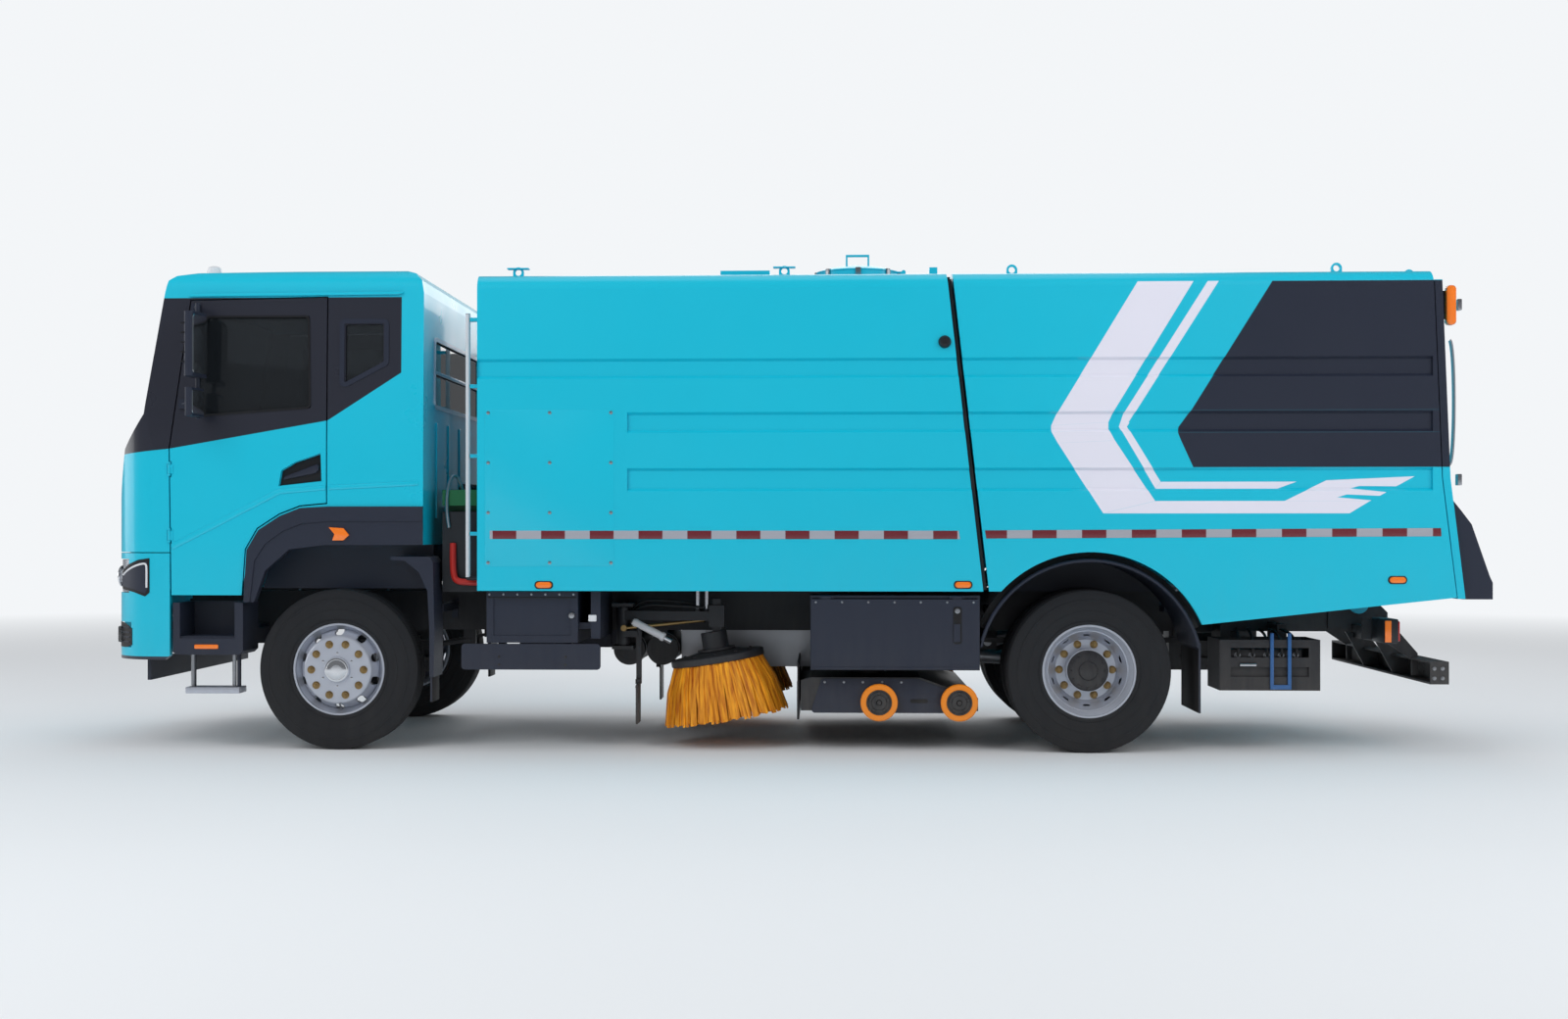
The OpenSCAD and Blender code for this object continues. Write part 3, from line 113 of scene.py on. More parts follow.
def new_group(name, inputs, outputs):
    """A shader node group with named inputs and outputs."""
    group = bpy.data.node_groups.new(name, "ShaderNodeTree")
    for direction, sockets in (("INPUT", inputs), ("OUTPUT", outputs)):
        for label, kind, value in sockets:
            socket = group.interface.new_socket(name=label, in_out=direction, socket_type="NodeSocket" + kind)
            if value is not None:
                socket.default_value = value
    return group, group.nodes.new("NodeGroupInput"), group.nodes.new("NodeGroupOutput")


def node(tree, kind, **settings):
    """A new node of that kind. Keyword names with the prefix in_ set its inputs."""
    made = tree.nodes.new("ShaderNode" + kind)
    for key, value in settings.items():
        if not key.startswith("in_"):
            setattr(made, key, value)
    for key, value in settings.items():
        if key.startswith("in_"):
            label = key[3:]
            made.inputs[int(label) if label.isdigit() else label].default_value = value
    return made


def sum_of(tree, operation, first, second, clamp=False):
    """One math node, fed by sockets or plain numbers."""
    made = node(tree, "Math", operation=operation, use_clamp=clamp)
    for slot, value in enumerate((first, second)):
        if isinstance(value, (int, float)):
            made.inputs[slot].default_value = value
        else:
            tree.links.new(value, made.inputs[slot])
    return made.outputs[0]


def mix_colour(tree, factor, first, second, blend="MIX"):
    made = node(tree, "Mix", data_type="RGBA", blend_type=blend)
    for slot, value in ((0, factor), (6, first), (7, second)):
        if isinstance(value, (int, float)):
            made.inputs[slot].default_value = value
        elif isinstance(value, tuple):
            made.inputs[slot].default_value = (*value, 1)
        else:
            tree.links.new(value, made.inputs[slot])
    return made.outputs[2]


def make_uneven_colour():
    """Slow changes of shade over a surface, and a fine speckle."""
    group, start, end = new_group(
        "uneven_colour",
        [("Colour", "Color", (0.5, 0.5, 0.5, 1)), ("Patch size", "Float", 1.0), ("Amount", "Float", 0.1),
         ("Speckle", "Float", 0.05)],
        [("Colour", "Color", None)])
    place = node(group, "TexCoord")
    slow, fast = node(group, "TexNoise", in_Detail=3.0), node(group, "TexNoise", in_Scale=260.0, in_Detail=2.0)
    for pattern in (slow, fast):
        group.links.new(place.outputs["Object"], pattern.inputs["Vector"])
    group.links.new(start.outputs["Patch size"], slow.inputs["Scale"])
    level = sum_of(group, "MULTIPLY", sum_of(group, "SUBTRACT", slow.outputs[0], 0.5), start.outputs["Amount"])
    grain = sum_of(group, "MULTIPLY", sum_of(group, "SUBTRACT", fast.outputs[0], 0.5), start.outputs["Speckle"])
    value = sum_of(group, "ADD", sum_of(group, "ADD", level, grain), 1.0)
    shift = node(group, "HueSaturation")
    group.links.new(start.outputs["Colour"], shift.inputs["Color"])
    group.links.new(value, shift.inputs["Value"])
    group.links.new(shift.outputs[0], end.inputs[0])
    return group


def make_road_dust():
    """Pale dust that is thick near the road and thins out upwards, in patches and runs."""
    group, start, end = new_group(
        "road_dust",
        [("Colour", "Color", (0.5, 0.5, 0.5, 1)), ("Dust colour", "Color", (0.30, 0.27, 0.23, 1)),
         ("Top", "Float", 1.4), ("Amount", "Float", 0.4)],
        [("Colour", "Color", None), ("Mask", "Float", None)])
    place = node(group, "TexCoord")
    parts = node(group, "SeparateXYZ")
    group.links.new(place.outputs["Object"], parts.inputs[0])
    fade = node(group, "MapRange", in_1=0.0, in_3=1.0, in_4=0.0)
    group.links.new(parts.outputs["Z"], fade.inputs[0])
    group.links.new(start.outputs["Top"], fade.inputs[2])
    stretch = node(group, "Mapping")
    stretch.inputs["Scale"].default_value = (6, 6, 1.2)
    group.links.new(place.outputs["Object"], stretch.inputs["Vector"])
    runs = node(group, "TexNoise", in_Scale=2.2, in_Detail=6.0, in_Roughness=0.62)
    group.links.new(stretch.outputs[0], runs.inputs["Vector"])
    spread = node(group, "MapRange", in_1=0.32, in_2=0.72, in_3=0.25, in_4=1.0)
    group.links.new(runs.outputs[0], spread.inputs[0])
    squared = sum_of(group, "POWER", fade.outputs[0], 1.6)
    mask = sum_of(group, "MULTIPLY", sum_of(group, "MULTIPLY", squared, spread.outputs[0]),
                  start.outputs["Amount"], clamp=True)
    mixed = mix_colour(group, mask, start.outputs["Colour"], start.outputs["Dust colour"])
    group.links.new(mixed, end.inputs[0])
    group.links.new(mask, end.inputs[1])
    return group


def make_side_of_line():
    """1 on the side of a line, seen from the truck's side, that its normal points to, else 0."""
    group, start, end = new_group(
        "side_of_line", [("Y", "Float", 0.0), ("Z", "Float", 0.0), ("Normal Y", "Float", 0.0),
                         ("Normal Z", "Float", 1.0)], [("Mask", "Float", None)])
    place, parts = node(group, "TexCoord"), node(group, "SeparateXYZ")
    group.links.new(place.outputs["Object"], parts.inputs[0])
    along = sum_of(group, "MULTIPLY", sum_of(group, "SUBTRACT", parts.outputs["Y"], start.outputs["Y"]),
                   start.outputs["Normal Y"])
    up = sum_of(group, "MULTIPLY", sum_of(group, "SUBTRACT", parts.outputs["Z"], start.outputs["Z"]),
                start.outputs["Normal Z"])
    edge = node(group, "MapRange", in_1=-0.0015, in_2=0.0015)
    group.links.new(sum_of(group, "ADD", along, up), edge.inputs[0])
    group.links.new(edge.outputs[0], end.inputs[0])
    return group


GROUPS = {"uneven": make_uneven_colour(), "dust": make_road_dust(), "line": make_side_of_line()}


def use_group(tree, key, colour=None, **values):
    made = node(tree, "Group", node_tree=GROUPS[key])
    if colour is not None:
        if isinstance(colour, tuple):
            made.inputs["Colour"].default_value = (*colour, 1)
        else:
            tree.links.new(colour, made.inputs["Colour"])
    for label, value in values.items():
        socket = made.inputs[label.replace("_", " ")]
        socket.default_value = (*value, 1) if isinstance(value, tuple) else value
    return made


def inside_outline(tree, corners):
    """Mask of a convex outline given as (y, z) corners, in either turning sense."""
    middle = [sum(corner[i] for corner in corners) / len(corners) for i in (0, 1)]
    mask = None
    for (y0, z0), (y1, z1) in zip(corners, corners[1:] + corners[:1]):
        normal = Vector((z0 - z1, y1 - y0)).normalized()
        if normal.dot(Vector((middle[0] - y0, middle[1] - z0))) < 0:
            normal = -normal
        side = node(tree, "Group", node_tree=GROUPS["line"])
        for label, value in zip(("Y", "Z", "Normal Y", "Normal Z"), (y0, z0, normal.x, normal.y)):
            side.inputs[label].default_value = value
        mask = side.outputs[0] if mask is None else sum_of(tree, "MULTIPLY", mask, side.outputs[0])
    return mask


def any_of(tree, masks):
    result = masks[0]
    for mask in masks[1:]:
        result = sum_of(tree, "MAXIMUM", result, mask)
    return result


# ---------- finishes ----------


def make_finish(name, colour, roughness, metallic=0.0, coat=0.0, patch=0.8, uneven=0.10, speckle=0.05, dust=0.35,
                dust_top=1.4, dust_colour=(0.30, 0.27, 0.23), grain=400.0, bump=0.05, wave=0.0, tint=None):
    """A finish with uneven colour, road dust, a fine grain and changes of gloss.

    tint(tree, colour) may paint areas of the surface before the dust lies on it.
    """
    material = bpy.data.materials.new(name)
    material.use_nodes = True
    tree = material.node_tree
    surface = tree.nodes["Principled BSDF"]
    base = colour
    if tint:
        base = tint(tree, colour)
    mottled = use_group(tree, "uneven", base, Patch_size=patch, Amount=uneven, Speckle=speckle)
    dusty = use_group(tree, "dust", mottled.outputs[0], Top=dust_top, Amount=dust, Dust_colour=dust_colour)
    tree.links.new(dusty.outputs["Colour"], surface.inputs["Base Color"])
    place = node(tree, "TexCoord")
    fine = node(tree, "TexNoise", in_Scale=grain, in_Detail=2.0)
    smear = node(tree, "TexNoise", in_Scale=3.0, in_Detail=5.0)
    for pattern in (fine, smear):
        tree.links.new(place.outputs["Object"], pattern.inputs["Vector"])
    gloss = sum_of(tree, "ADD", sum_of(tree, "MULTIPLY", smear.outputs[0], 0.16), roughness - 0.08)
    tree.links.new(sum_of(tree, "ADD", gloss, sum_of(tree, "MULTIPLY", dusty.outputs["Mask"], 0.5), clamp=True),
                   surface.inputs["Roughness"])
    relief = node(tree, "Bump", in_Strength=bump, in_Distance=0.002)
    height = fine.outputs[0]
    if wave:
        slow = node(tree, "TexNoise", in_Scale=wave, in_Detail=1.0)
        tree.links.new(place.outputs["Object"], slow.inputs["Vector"])
        height = sum_of(tree, "ADD", height, sum_of(tree, "MULTIPLY", slow.outputs[0], 3.0))
    tree.links.new(height, relief.inputs["Height"])
    tree.links.new(relief.outputs[0], surface.inputs["Normal"])
    surface.inputs["Metallic"].default_value = metallic
    surface.inputs["Coat Weight"].default_value = coat
    surface.inputs["Coat Roughness"].default_value = 0.06
    return material


TEAL = (0.0, 0.50, 0.68)
DARK = (0.017, 0.022, 0.040)
STRIPE = (0.78, 0.77, 0.87)


def hopper_graphic(tree, colour):
    """Dark rear field, a wide pale chevron that runs into a low bar, and a thin one inside it."""
    dark = any_of(tree, [
        inside_outline(tree, [(2.968, 2.916), (2.474, 2.122), (4.30, 2.122), (4.30, 2.916)]),
        inside_outline(tree, [(2.474, 2.123), (2.399, 2.020), (2.392, 1.985), (4.30, 1.985), (4.30, 2.123)]),
        inside_outline(tree, [(2.392, 1.986), (2.404, 1.952), (2.486, 1.771), (4.30, 1.771), (4.30, 1.986)]),
    ])
    pale = any_of(tree, [
        inside_outline(tree, [(2.147, 2.917), (1.650, 2.098), (2.004, 2.123), (2.488, 2.917)]),
        inside_outline(tree, [(1.650, 2.099), (1.619, 2.030), (1.970, 2.050), (2.004, 2.124)]),
        inside_outline(tree, [(1.619, 2.031), (1.619, 1.989), (1.970, 2.005), (1.970, 2.051)]),
        inside_outline(tree, [(1.619, 1.990), (1.658, 1.920), (2.007, 1.936), (1.970, 2.006)]),
        inside_outline(tree, [(1.658, 1.921), (1.936, 1.487), (2.253, 1.563), (2.007, 1.937)]),
        inside_outline(tree, [(1.936, 1.487), (3.436, 1.487), (3.560, 1.563), (2.253, 1.563)]),
        inside_outline(tree, [(3.040, 1.562), (3.560, 1.562), (3.835, 1.714), (3.300, 1.690)]),
        inside_outline(tree, [(2.575, 2.917), (2.063, 2.106), (2.091, 2.046), (2.642, 2.917)]),
        inside_outline(tree, [(2.063, 2.107), (2.034, 2.021), (2.070, 2.000), (2.098, 2.046)]),
        inside_outline(tree, [(2.034, 2.022), (2.259, 1.639), (2.290, 1.682), (2.072, 2.040)]),
        inside_outline(tree, [(2.259, 1.639), (3.002, 1.639), (3.119, 1.682), (2.290, 1.682)]),
    ])
    gaps = any_of(tree, [
        inside_outline(tree, [(3.361, 1.585), (3.640, 1.560), (3.700, 1.590), (3.420, 1.603)]),
        inside_outline(tree, [(3.444, 1.640), (3.700, 1.612), (3.820, 1.652), (3.500, 1.655)]),
    ])
    clear = sum_of(tree, "SUBTRACT", pale, gaps, clamp=True)
    return mix_colour(tree, clear, mix_colour(tree, dark, colour, DARK), STRIPE)


def window_band(tree, colour):
    """Dark band round the cab's windows, up to the rain channel."""
    band = inside_outline(tree, [(-4.40, 1.850), (-3.920, 1.897), (-2.907, 2.074), (-2.441, 2.375), (-2.441, 2.852),
                                 (-4.40, 2.852)])
    return mix_colour(tree, band, colour, (0.018, 0.020, 0.032))


def dark_lower_lip(tree, colour):
    """Dark lower edge of the bumper."""
    lip = inside_outline(tree, [(-4.50, 0.40), (-3.0, 0.40), (-3.0, 0.585), (-4.50, 0.585)])
    return mix_colour(tree, lip, colour, DARK)


def part_of_place(tree, axis):
    place, parts = node(tree, "TexCoord"), node(tree, "SeparateXYZ")
    tree.links.new(place.outputs["Object"], parts.inputs[0])
    return parts.outputs[axis]


def dark_low_half(tree, colour):
    """Only the top block keeps its colour."""
    low = sum_of(tree, "LESS_THAN", part_of_place(tree, "Z"), 1.505)
    return mix_colour(tree, low, colour, (0.014, 0.017, 0.022))


def teal_on_the_roof(tree, colour):
    """What stands on the roof has the body's colour."""
    return mix_colour(tree, sum_of(tree, "GREATER_THAN", part_of_place(tree, "Z"), 2.9), colour, TEAL)


def gate_sides(tree, colour):
    """The hopper's dark field goes on over the edges of the tailgate."""
    outer = sum_of(tree, "GREATER_THAN", sum_of(tree, "ABSOLUTE", part_of_place(tree, "X"), 0.0), 1.205)
    field = inside_outline(tree, [(3.60, 2.916), (3.60, 1.771), (4.30, 1.771), (4.30, 2.916)])
    return mix_colour(tree, sum_of(tree, "MULTIPLY", outer, field), colour, DARK)


def tape_blocks(tree, colour):
    """Dark red blocks on the pale reflective tape, with a fine honeycomb over both."""
    place, parts = node(tree, "TexCoord"), node(tree, "SeparateXYZ")
    tree.links.new(place.outputs["Object"], parts.inputs[0])
    step = sum_of(tree, "FRACT", sum_of(tree, "DIVIDE", sum_of(tree, "ADD", parts.outputs["Y"], 1.93), 0.3048), 0.0)
    red = sum_of(tree, "LESS_THAN", sum_of(tree, "ABSOLUTE", sum_of(tree, "SUBTRACT", step, 0.5), 0.0), 0.245)
    cells = node(tree, "TexVoronoi", in_Scale=240.0, feature="DISTANCE_TO_EDGE")
    tree.links.new(place.outputs["Object"], cells.inputs["Vector"])
    net = sum_of(tree, "LESS_THAN", cells.outputs[0], 0.12)
    blocks = mix_colour(tree, red, colour, (0.14, 0.002, 0.010))
    return mix_colour(tree, sum_of(tree, "MULTIPLY", net, 0.04), blocks, (0.60, 0.60, 0.64))


def make_bristle_finish():
    """Orange strands: fine streaks that run down from the brush's axle."""
    material = bpy.data.materials.new("bristle strands")
    material.use_nodes = True
    tree = material.node_tree
    surface = tree.nodes["Principled BSDF"]
    places = node(tree, "UVMap")
    stretch = node(tree, "Mapping")
    stretch.inputs["Scale"].default_value = (90, 1.4, 1)
    tree.links.new(places.outputs[0], stretch.inputs["Vector"])
    streak = node(tree, "TexNoise", in_Scale=1.0, in_Detail=4.0)
    tree.links.new(stretch.outputs[0], streak.inputs["Vector"])
    ramp = node(tree, "ValToRGB")
    ramp.color_ramp.elements[0].position = 0.30
    ramp.color_ramp.elements[0].color = (0.42, 0.09, 0.003, 1)
    ramp.color_ramp.elements[1].position = 0.68
    ramp.color_ramp.elements[1].color = (0.98, 0.42, 0.02, 1)
    tree.links.new(streak.outputs[0], ramp.inputs[0])
    tree.links.new(ramp.outputs[0], surface.inputs["Base Color"])
    relief = node(tree, "Bump", in_Strength=0.6, in_Distance=0.003)
    tree.links.new(streak.outputs[0], relief.inputs["Height"])
    tree.links.new(relief.outputs[0], surface.inputs["Normal"])
    surface.inputs["Roughness"].default_value = 0.5
    return material


def make_glass(name, colour, weight, roughness=0.02):
    material = bpy.data.materials.new(name)
    material.use_nodes = True
    tree = material.node_tree
    surface = tree.nodes["Principled BSDF"]
    surface.inputs["Metallic"].default_value = 0.0
    surface.inputs["Transmission Weight"].default_value = weight
    surface.inputs["IOR"].default_value = 1.45
    film = use_group(tree, "dust", colour, Top=3.2, Amount=0.10, Dust_colour=(0.12, 0.12, 0.12))
    tree.links.new(film.outputs["Colour"], surface.inputs["Base Color"])
    tree.links.new(sum_of(tree, "ADD", sum_of(tree, "MULTIPLY", film.outputs["Mask"], 0.5), roughness),
                   surface.inputs["Roughness"])
    return material


def make_cloth():
    """Dark seat cloth with a twill weave."""
    material = bpy.data.materials.new("seat cloth")
    material.use_nodes = True
    tree = material.node_tree
    surface = tree.nodes["Principled BSDF"]
    place = node(tree, "TexCoord")
    turned = node(tree, "Mapping")
    turned.inputs["Rotation"].default_value = (0.6, 0.6, 0.785)
    tree.links.new(place.outputs["Object"], turned.inputs["Vector"])
    twill = node(tree, "TexWave", in_Scale=180.0, in_Distortion=0.6)
    tree.links.new(turned.outputs[0], twill.inputs["Vector"])
    threads = mix_colour(tree, twill.outputs[1], (0.018, 0.020, 0.026), (0.050, 0.052, 0.062))
    worn = use_group(tree, "uneven", threads, Patch_size=4.0, Amount=0.25, Speckle=0.2)
    tree.links.new(worn.outputs[0], surface.inputs["Base Color"])
    relief = node(tree, "Bump", in_Strength=0.5, in_Distance=0.001)
    tree.links.new(twill.outputs[1], relief.inputs["Height"])
    tree.links.new(relief.outputs[0], surface.inputs["Normal"])
    surface.inputs["Roughness"].default_value = 0.92
    surface.inputs["Sheen Weight"].default_value = 0.3
    return material


METAL_DUST = (0.20, 0.18, 0.16)
LOOKS = {
    "teal": (make_finish("teal paint", TEAL, 0.34, coat=0.3, patch=0.6, uneven=0.07, speckle=0.015, dust=0.10,
                         dust_top=1.7, grain=700.0, bump=0.02, wave=5.0), "teal_paint"),
    "cab teal": (make_finish("cab paint with window band", TEAL, 0.30, coat=0.35, patch=0.6, uneven=0.06,
                             speckle=0.01, dust=0.08, dust_top=1.5, grain=700.0, bump=0.015, wave=3.0,
                             tint=window_band), "teal_paint"),
    "hopper teal": (make_finish("hopper paint with stripes", TEAL, 0.34, coat=0.3, patch=0.6, uneven=0.07,
                                speckle=0.015, dust=0.10, dust_top=1.7, grain=700.0, bump=0.02, wave=5.0,
                                tint=hopper_graphic), "teal_paint"),
    "bumper teal": (make_finish("bumper paint", TEAL, 0.32, coat=0.35, speckle=0.015, dust=0.12, bump=0.02, wave=4.0,
                                tint=dark_lower_lip), "teal_paint"),
    "dark": (make_finish("dark moulded plastic", DARK, 0.50, grain=900.0, bump=0.16, dust=0.12, dust_top=1.1),
             "dark_plastic"),
    "frame": (make_finish("frame paint", (0.016, 0.018, 0.024), 0.52, dust=0.40, dust_top=1.2, bump=0.10), "frame_paint"),
    "black": (make_finish("black enamel", (0.012, 0.013, 0.018), 0.42, dust=0.35, dust_top=1.0, bump=0.08),
              "black_metal"),
    "steel": (make_finish("bare steel", (0.46, 0.47, 0.50), 0.36, metallic=1.0, dust=0.35, dust_top=1.2,
                          dust_colour=METAL_DUST, grain=240.0, bump=0.10), "bare_steel"),
    "alloy": (make_finish("wheel silver", (0.55, 0.58, 0.66), 0.34, metallic=0.55, coat=0.3, dust=0.22, dust_top=1.0,
                          dust_colour=METAL_DUST, bump=0.04), "alloy"),
    "gold": (make_finish("yellow zinc", (0.38, 0.25, 0.10), 0.34, metallic=0.9, dust=0.3, dust_colour=METAL_DUST,
                         bump=0.06), "bare_steel"),
    "green": (make_finish("green housing", (0.008, 0.13, 0.045), 0.42, dust=0.2, bump=0.06, tint=dark_low_half),
              "green_housing"),
    "tow and eyes": (make_finish("frame paint and roof eyes", (0.016, 0.018, 0.024), 0.46, dust=0.20, dust_top=1.2,
                                 bump=0.08, tint=teal_on_the_roof), "frame_paint"),
    "gate teal": (make_finish("tailgate paint", TEAL, 0.34, coat=0.3, patch=0.6, uneven=0.07, speckle=0.015, dust=0.10,
                              dust_top=1.7, grain=700.0, bump=0.02, wave=5.0, tint=gate_sides), "teal_paint"),
    "lamp body": (make_finish("lamp reflector", (0.42, 0.44, 0.48), 0.22, metallic=0.6, coat=0.6, dust=0.08, bump=0.05),
                  "lamp_glass"),
    "white": (make_finish("white plastic", (0.72, 0.73, 0.76), 0.38, dust=0.15, bump=0.03), "interior_plastic"),
    "interior": (make_finish("interior plastic", (0.040, 0.042, 0.050), 0.60, grain=1100.0, bump=0.25, dust=0.0),
                 "interior_plastic"),
    "rubber": (make_finish("tyre rubber", (0.012, 0.013, 0.016), 0.76, patch=2.0, uneven=0.3, speckle=0.12, dust=0.20,
                           dust_top=1.3, dust_colour=(0.085, 0.078, 0.070), grain=500.0, bump=0.18), "tyre_rubber"),
    "seal": (make_finish("rubber seal", (0.008, 0.008, 0.010), 0.60, dust=0.1, bump=0.10), "soft_black"),
    "orange": (make_finish("orange polyurethane", (0.88, 0.25, 0.006), 0.42, dust=0.25, dust_top=0.6, bump=0.05),
               "bristle_orange"),
    "orange lens": (make_finish("orange lens", (0.95, 0.20, 0.008), 0.16, coat=0.8, dust=0.05, grain=900.0, bump=0.3),
                    "lamp_glass"),
    "red lens": (make_finish("red lens", (0.55, 0.010, 0.012), 0.16, coat=0.8, dust=0.05, grain=900.0, bump=0.3),
                 "lamp_glass"),
    "red": (make_finish("red enamel", (0.45, 0.02, 0.015), 0.38, dust=0.2, bump=0.05), "black_metal"),
    "blue": (make_finish("blue enamel", (0.012, 0.10, 0.30), 0.40, dust=0.25, bump=0.05), "black_metal"),
    "chrome": (make_finish("chrome", (0.72, 0.73, 0.76), 0.14, metallic=1.0, uneven=0.04, speckle=0.02, dust=0.12,
                           dust_colour=METAL_DUST, bump=0.02), "chrome_rod"),
    "mirror": (make_finish("mirror glass", (0.80, 0.83, 0.86), 0.09, metallic=1.0, uneven=0.02, speckle=0.0,
                           dust=0.1, dust_top=3.4, bump=0.0), "clear_glass"),
    "tape": (make_finish("reflective tape", (0.36, 0.37, 0.42), 0.35, coat=0.3, dust=0.08, dust_top=1.7, bump=0.04,
                         tint=tape_blocks), "lamp_glass"),
    "bristle": (make_bristle_finish(), "bristle_orange"),
    "cloth": (make_cloth(), "soft_black"),
    "cab glass": (make_glass("tinted cab glass", (0.075, 0.090, 0.105), 0.86), "clear_glass"),
    "lens": (make_glass("clear lens", (0.92, 0.94, 0.96), 0.95, 0.03), "lamp_glass"),
}

SLOT_LOOKS = {
    "teal_paint": "teal", "frame_paint": "frame", "dark_plastic": "dark", "black_metal": "black",
    "bare_steel": "steel", "alloy": "alloy", "green_housing": "green", "clear_glass": "cab glass",
    "lamp_glass": "lens", "tyre_rubber": "rubber", "soft_black": "seal", "interior_plastic": "interior",
    "bristle_orange": "orange", "chrome_rod": "chrome",
}
NODE_LOOKS = {
    "hopper_shell": "hopper teal", "tailgate": "gate teal", "headlamps": "lamp body",
    "towing_and_lifting_points": "tow and eyes", "cab_shell": "cab teal", "door_left": "cab teal",
    "door_right": "cab teal", "front_bumper": "bumper teal", "roof_hatch": "teal",
}
for part in frame["record"]["subparts"]:
    shown = frame["nodes"][part["node"]]
    look = NODE_LOOKS.get(part["node"], SLOT_LOOKS.get(part["material_slot"], "frame"))
    if not shown.material_slots:
        shown.data.materials.append(None)
    for holder in shown.material_slots:
        holder.material = LOOKS[look][0]

# ---------- ways of making a piece ----------


def begin(kind, **size):
    """A primitive at its size and place, alone in the selection."""
    if bpy.context.object and bpy.context.object.mode != "OBJECT":
        bpy.ops.object.mode_set(mode="OBJECT")
    bpy.ops.object.select_all(action="DESELECT")
    getattr(bpy.ops.mesh, f"primitive_{kind}_add")(**size)
    return bpy.context.object


def only(piece):
    """Make this the one selected, active object."""
    bpy.ops.object.select_all(action="DESELECT")
    piece.select_set(True)
    bpy.context.view_layer.objects.active = piece


def pick(piece, keep, what="faces"):
    """In edit mode, select the vertices, edges or faces for which keep is true."""
    shape = bmesh.from_edit_mesh(piece.data)
    bpy.ops.mesh.select_mode(type={"verts": "VERT", "edges": "EDGE", "faces": "FACE"}[what])
    bpy.ops.mesh.select_all(action="DESELECT")
    for element in getattr(shape, what):
        if keep(element):
            element.select_set(True)
    shape.select_flush_mode()
    bmesh.update_edit_mesh(piece.data)


def settle(piece):
    """Put the piece's place into its mesh, with closed seams and faces that point outwards."""
    only(piece)
    bpy.ops.object.transform_apply(location=True, rotation=True, scale=True)
    bpy.ops.object.mode_set(mode="EDIT")
    bpy.ops.mesh.select_mode(type="VERT")
    bpy.ops.mesh.select_all(action="SELECT")
    bpy.ops.mesh.remove_doubles(threshold=0.00002)
    bpy.ops.mesh.normals_make_consistent(inside=False)
    bpy.ops.object.mode_set(mode="OBJECT")


def finish_piece(piece, name, body, look, angle=35, stands_for=()):
    """Name the piece, shade it, give it its finish and hang it on its body."""
    settle(piece)
    piece.name = name
    piece.data.name = name
    bpy.ops.object.shade_smooth_by_angle(angle=math.radians(angle))
    piece.data.materials.clear()
    piece.data.materials.append(LOOKS[look][0])
    if stands_for:
        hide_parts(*stands_for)
    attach(piece, body)
    return piece


def other_side(piece, name, body, stands_for=()):
    """The same piece on the truck's other side."""
    only(piece)
    bpy.ops.object.duplicate()
    twin = bpy.context.object
    twin.parent = None
    twin.data.transform(Matrix.Scale(-1, 4, (1, 0, 0)))
    bpy.ops.object.mode_set(mode="EDIT")
    bpy.ops.mesh.select_all(action="SELECT")
    bpy.ops.mesh.normals_make_consistent(inside=False)
    bpy.ops.object.mode_set(mode="OBJECT")
    for key in [k for k in twin.keys() if k.startswith("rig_")]:
        del twin[key]
    twin.name = name
    twin.data.name = name
    if stands_for:
        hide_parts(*stands_for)
    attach(twin, body)
    return twin


def block(low, high, bevel=0.004, segments=2):
    """A box between two corners with rounded edges."""
    low, high = Vector(low), Vector(high)
    piece = begin("cube", size=1, location=(low + high) / 2)
    piece.scale = high - low
    bpy.ops.object.transform_apply(location=True, rotation=False, scale=True)
    if bevel:
        bpy.ops.object.mode_set(mode="EDIT")
        bpy.ops.mesh.select_all(action="SELECT")
        bpy.ops.mesh.bevel(offset=bevel, segments=segments, affect="EDGES")
        bpy.ops.object.mode_set(mode="OBJECT")
    return piece


def outline_piece(points, depth, bevel=0.0, segments=2):
    """A plate: an outline in 3-D points, extruded by the vector depth, with rounded edges."""
    points = [Vector(point) for point in points]
    piece = begin("circle", vertices=len(points), radius=1, fill_type="NGON")
    for vertex, point in zip(piece.data.vertices, points):
        vertex.co = point
    bpy.ops.object.mode_set(mode="EDIT")
    bpy.ops.mesh.select_mode(type="FACE")
    bpy.ops.mesh.select_all(action="SELECT")
    bpy.ops.mesh.extrude_region_move(TRANSFORM_OT_translate={"value": tuple(depth)})
    bpy.ops.mesh.select_all(action="SELECT")
    bpy.ops.mesh.normals_make_consistent(inside=False)
    if bevel:
        bpy.ops.mesh.select_mode(type="EDGE")
        bpy.ops.mesh.select_all(action="SELECT")
        bpy.ops.mesh.bevel(offset=bevel, segments=segments, affect="EDGES")
    bpy.ops.object.mode_set(mode="OBJECT")
    return piece


def side_plate(corners, x0, x1, bevel=0.003):
    """A plate whose outline is given as (y, z) corners, between two places across the truck."""
    return outline_piece([(x0, y, z) for y, z in corners], (x1 - x0, 0, 0), bevel)


def front_plate(corners, y0, y1, bevel=0.003):
    return outline_piece([(x, y0, z) for x, z in corners], (0, y1 - y0, 0), bevel)


def top_plate(corners, z0, z1, bevel=0.003):
    return outline_piece([(x, y, z0) for x, y in corners], (0, 0, z1 - z0), bevel)


def rounded(y0, z0, y1, z1, r, steps=5):
    """Corners of a rectangle with round corners."""
    points = []
    for cy, cz, start in ((y1 - r, z1 - r, 0), (y0 + r, z1 - r, 90), (y0 + r, z0 + r, 180), (y1 - r, z0 + r, 270)):
        for i in range(steps + 1):
            turn = math.radians(start + 90 * i / steps)
            points.append((cy + r * math.cos(turn), cz + r * math.sin(turn)))
    return points


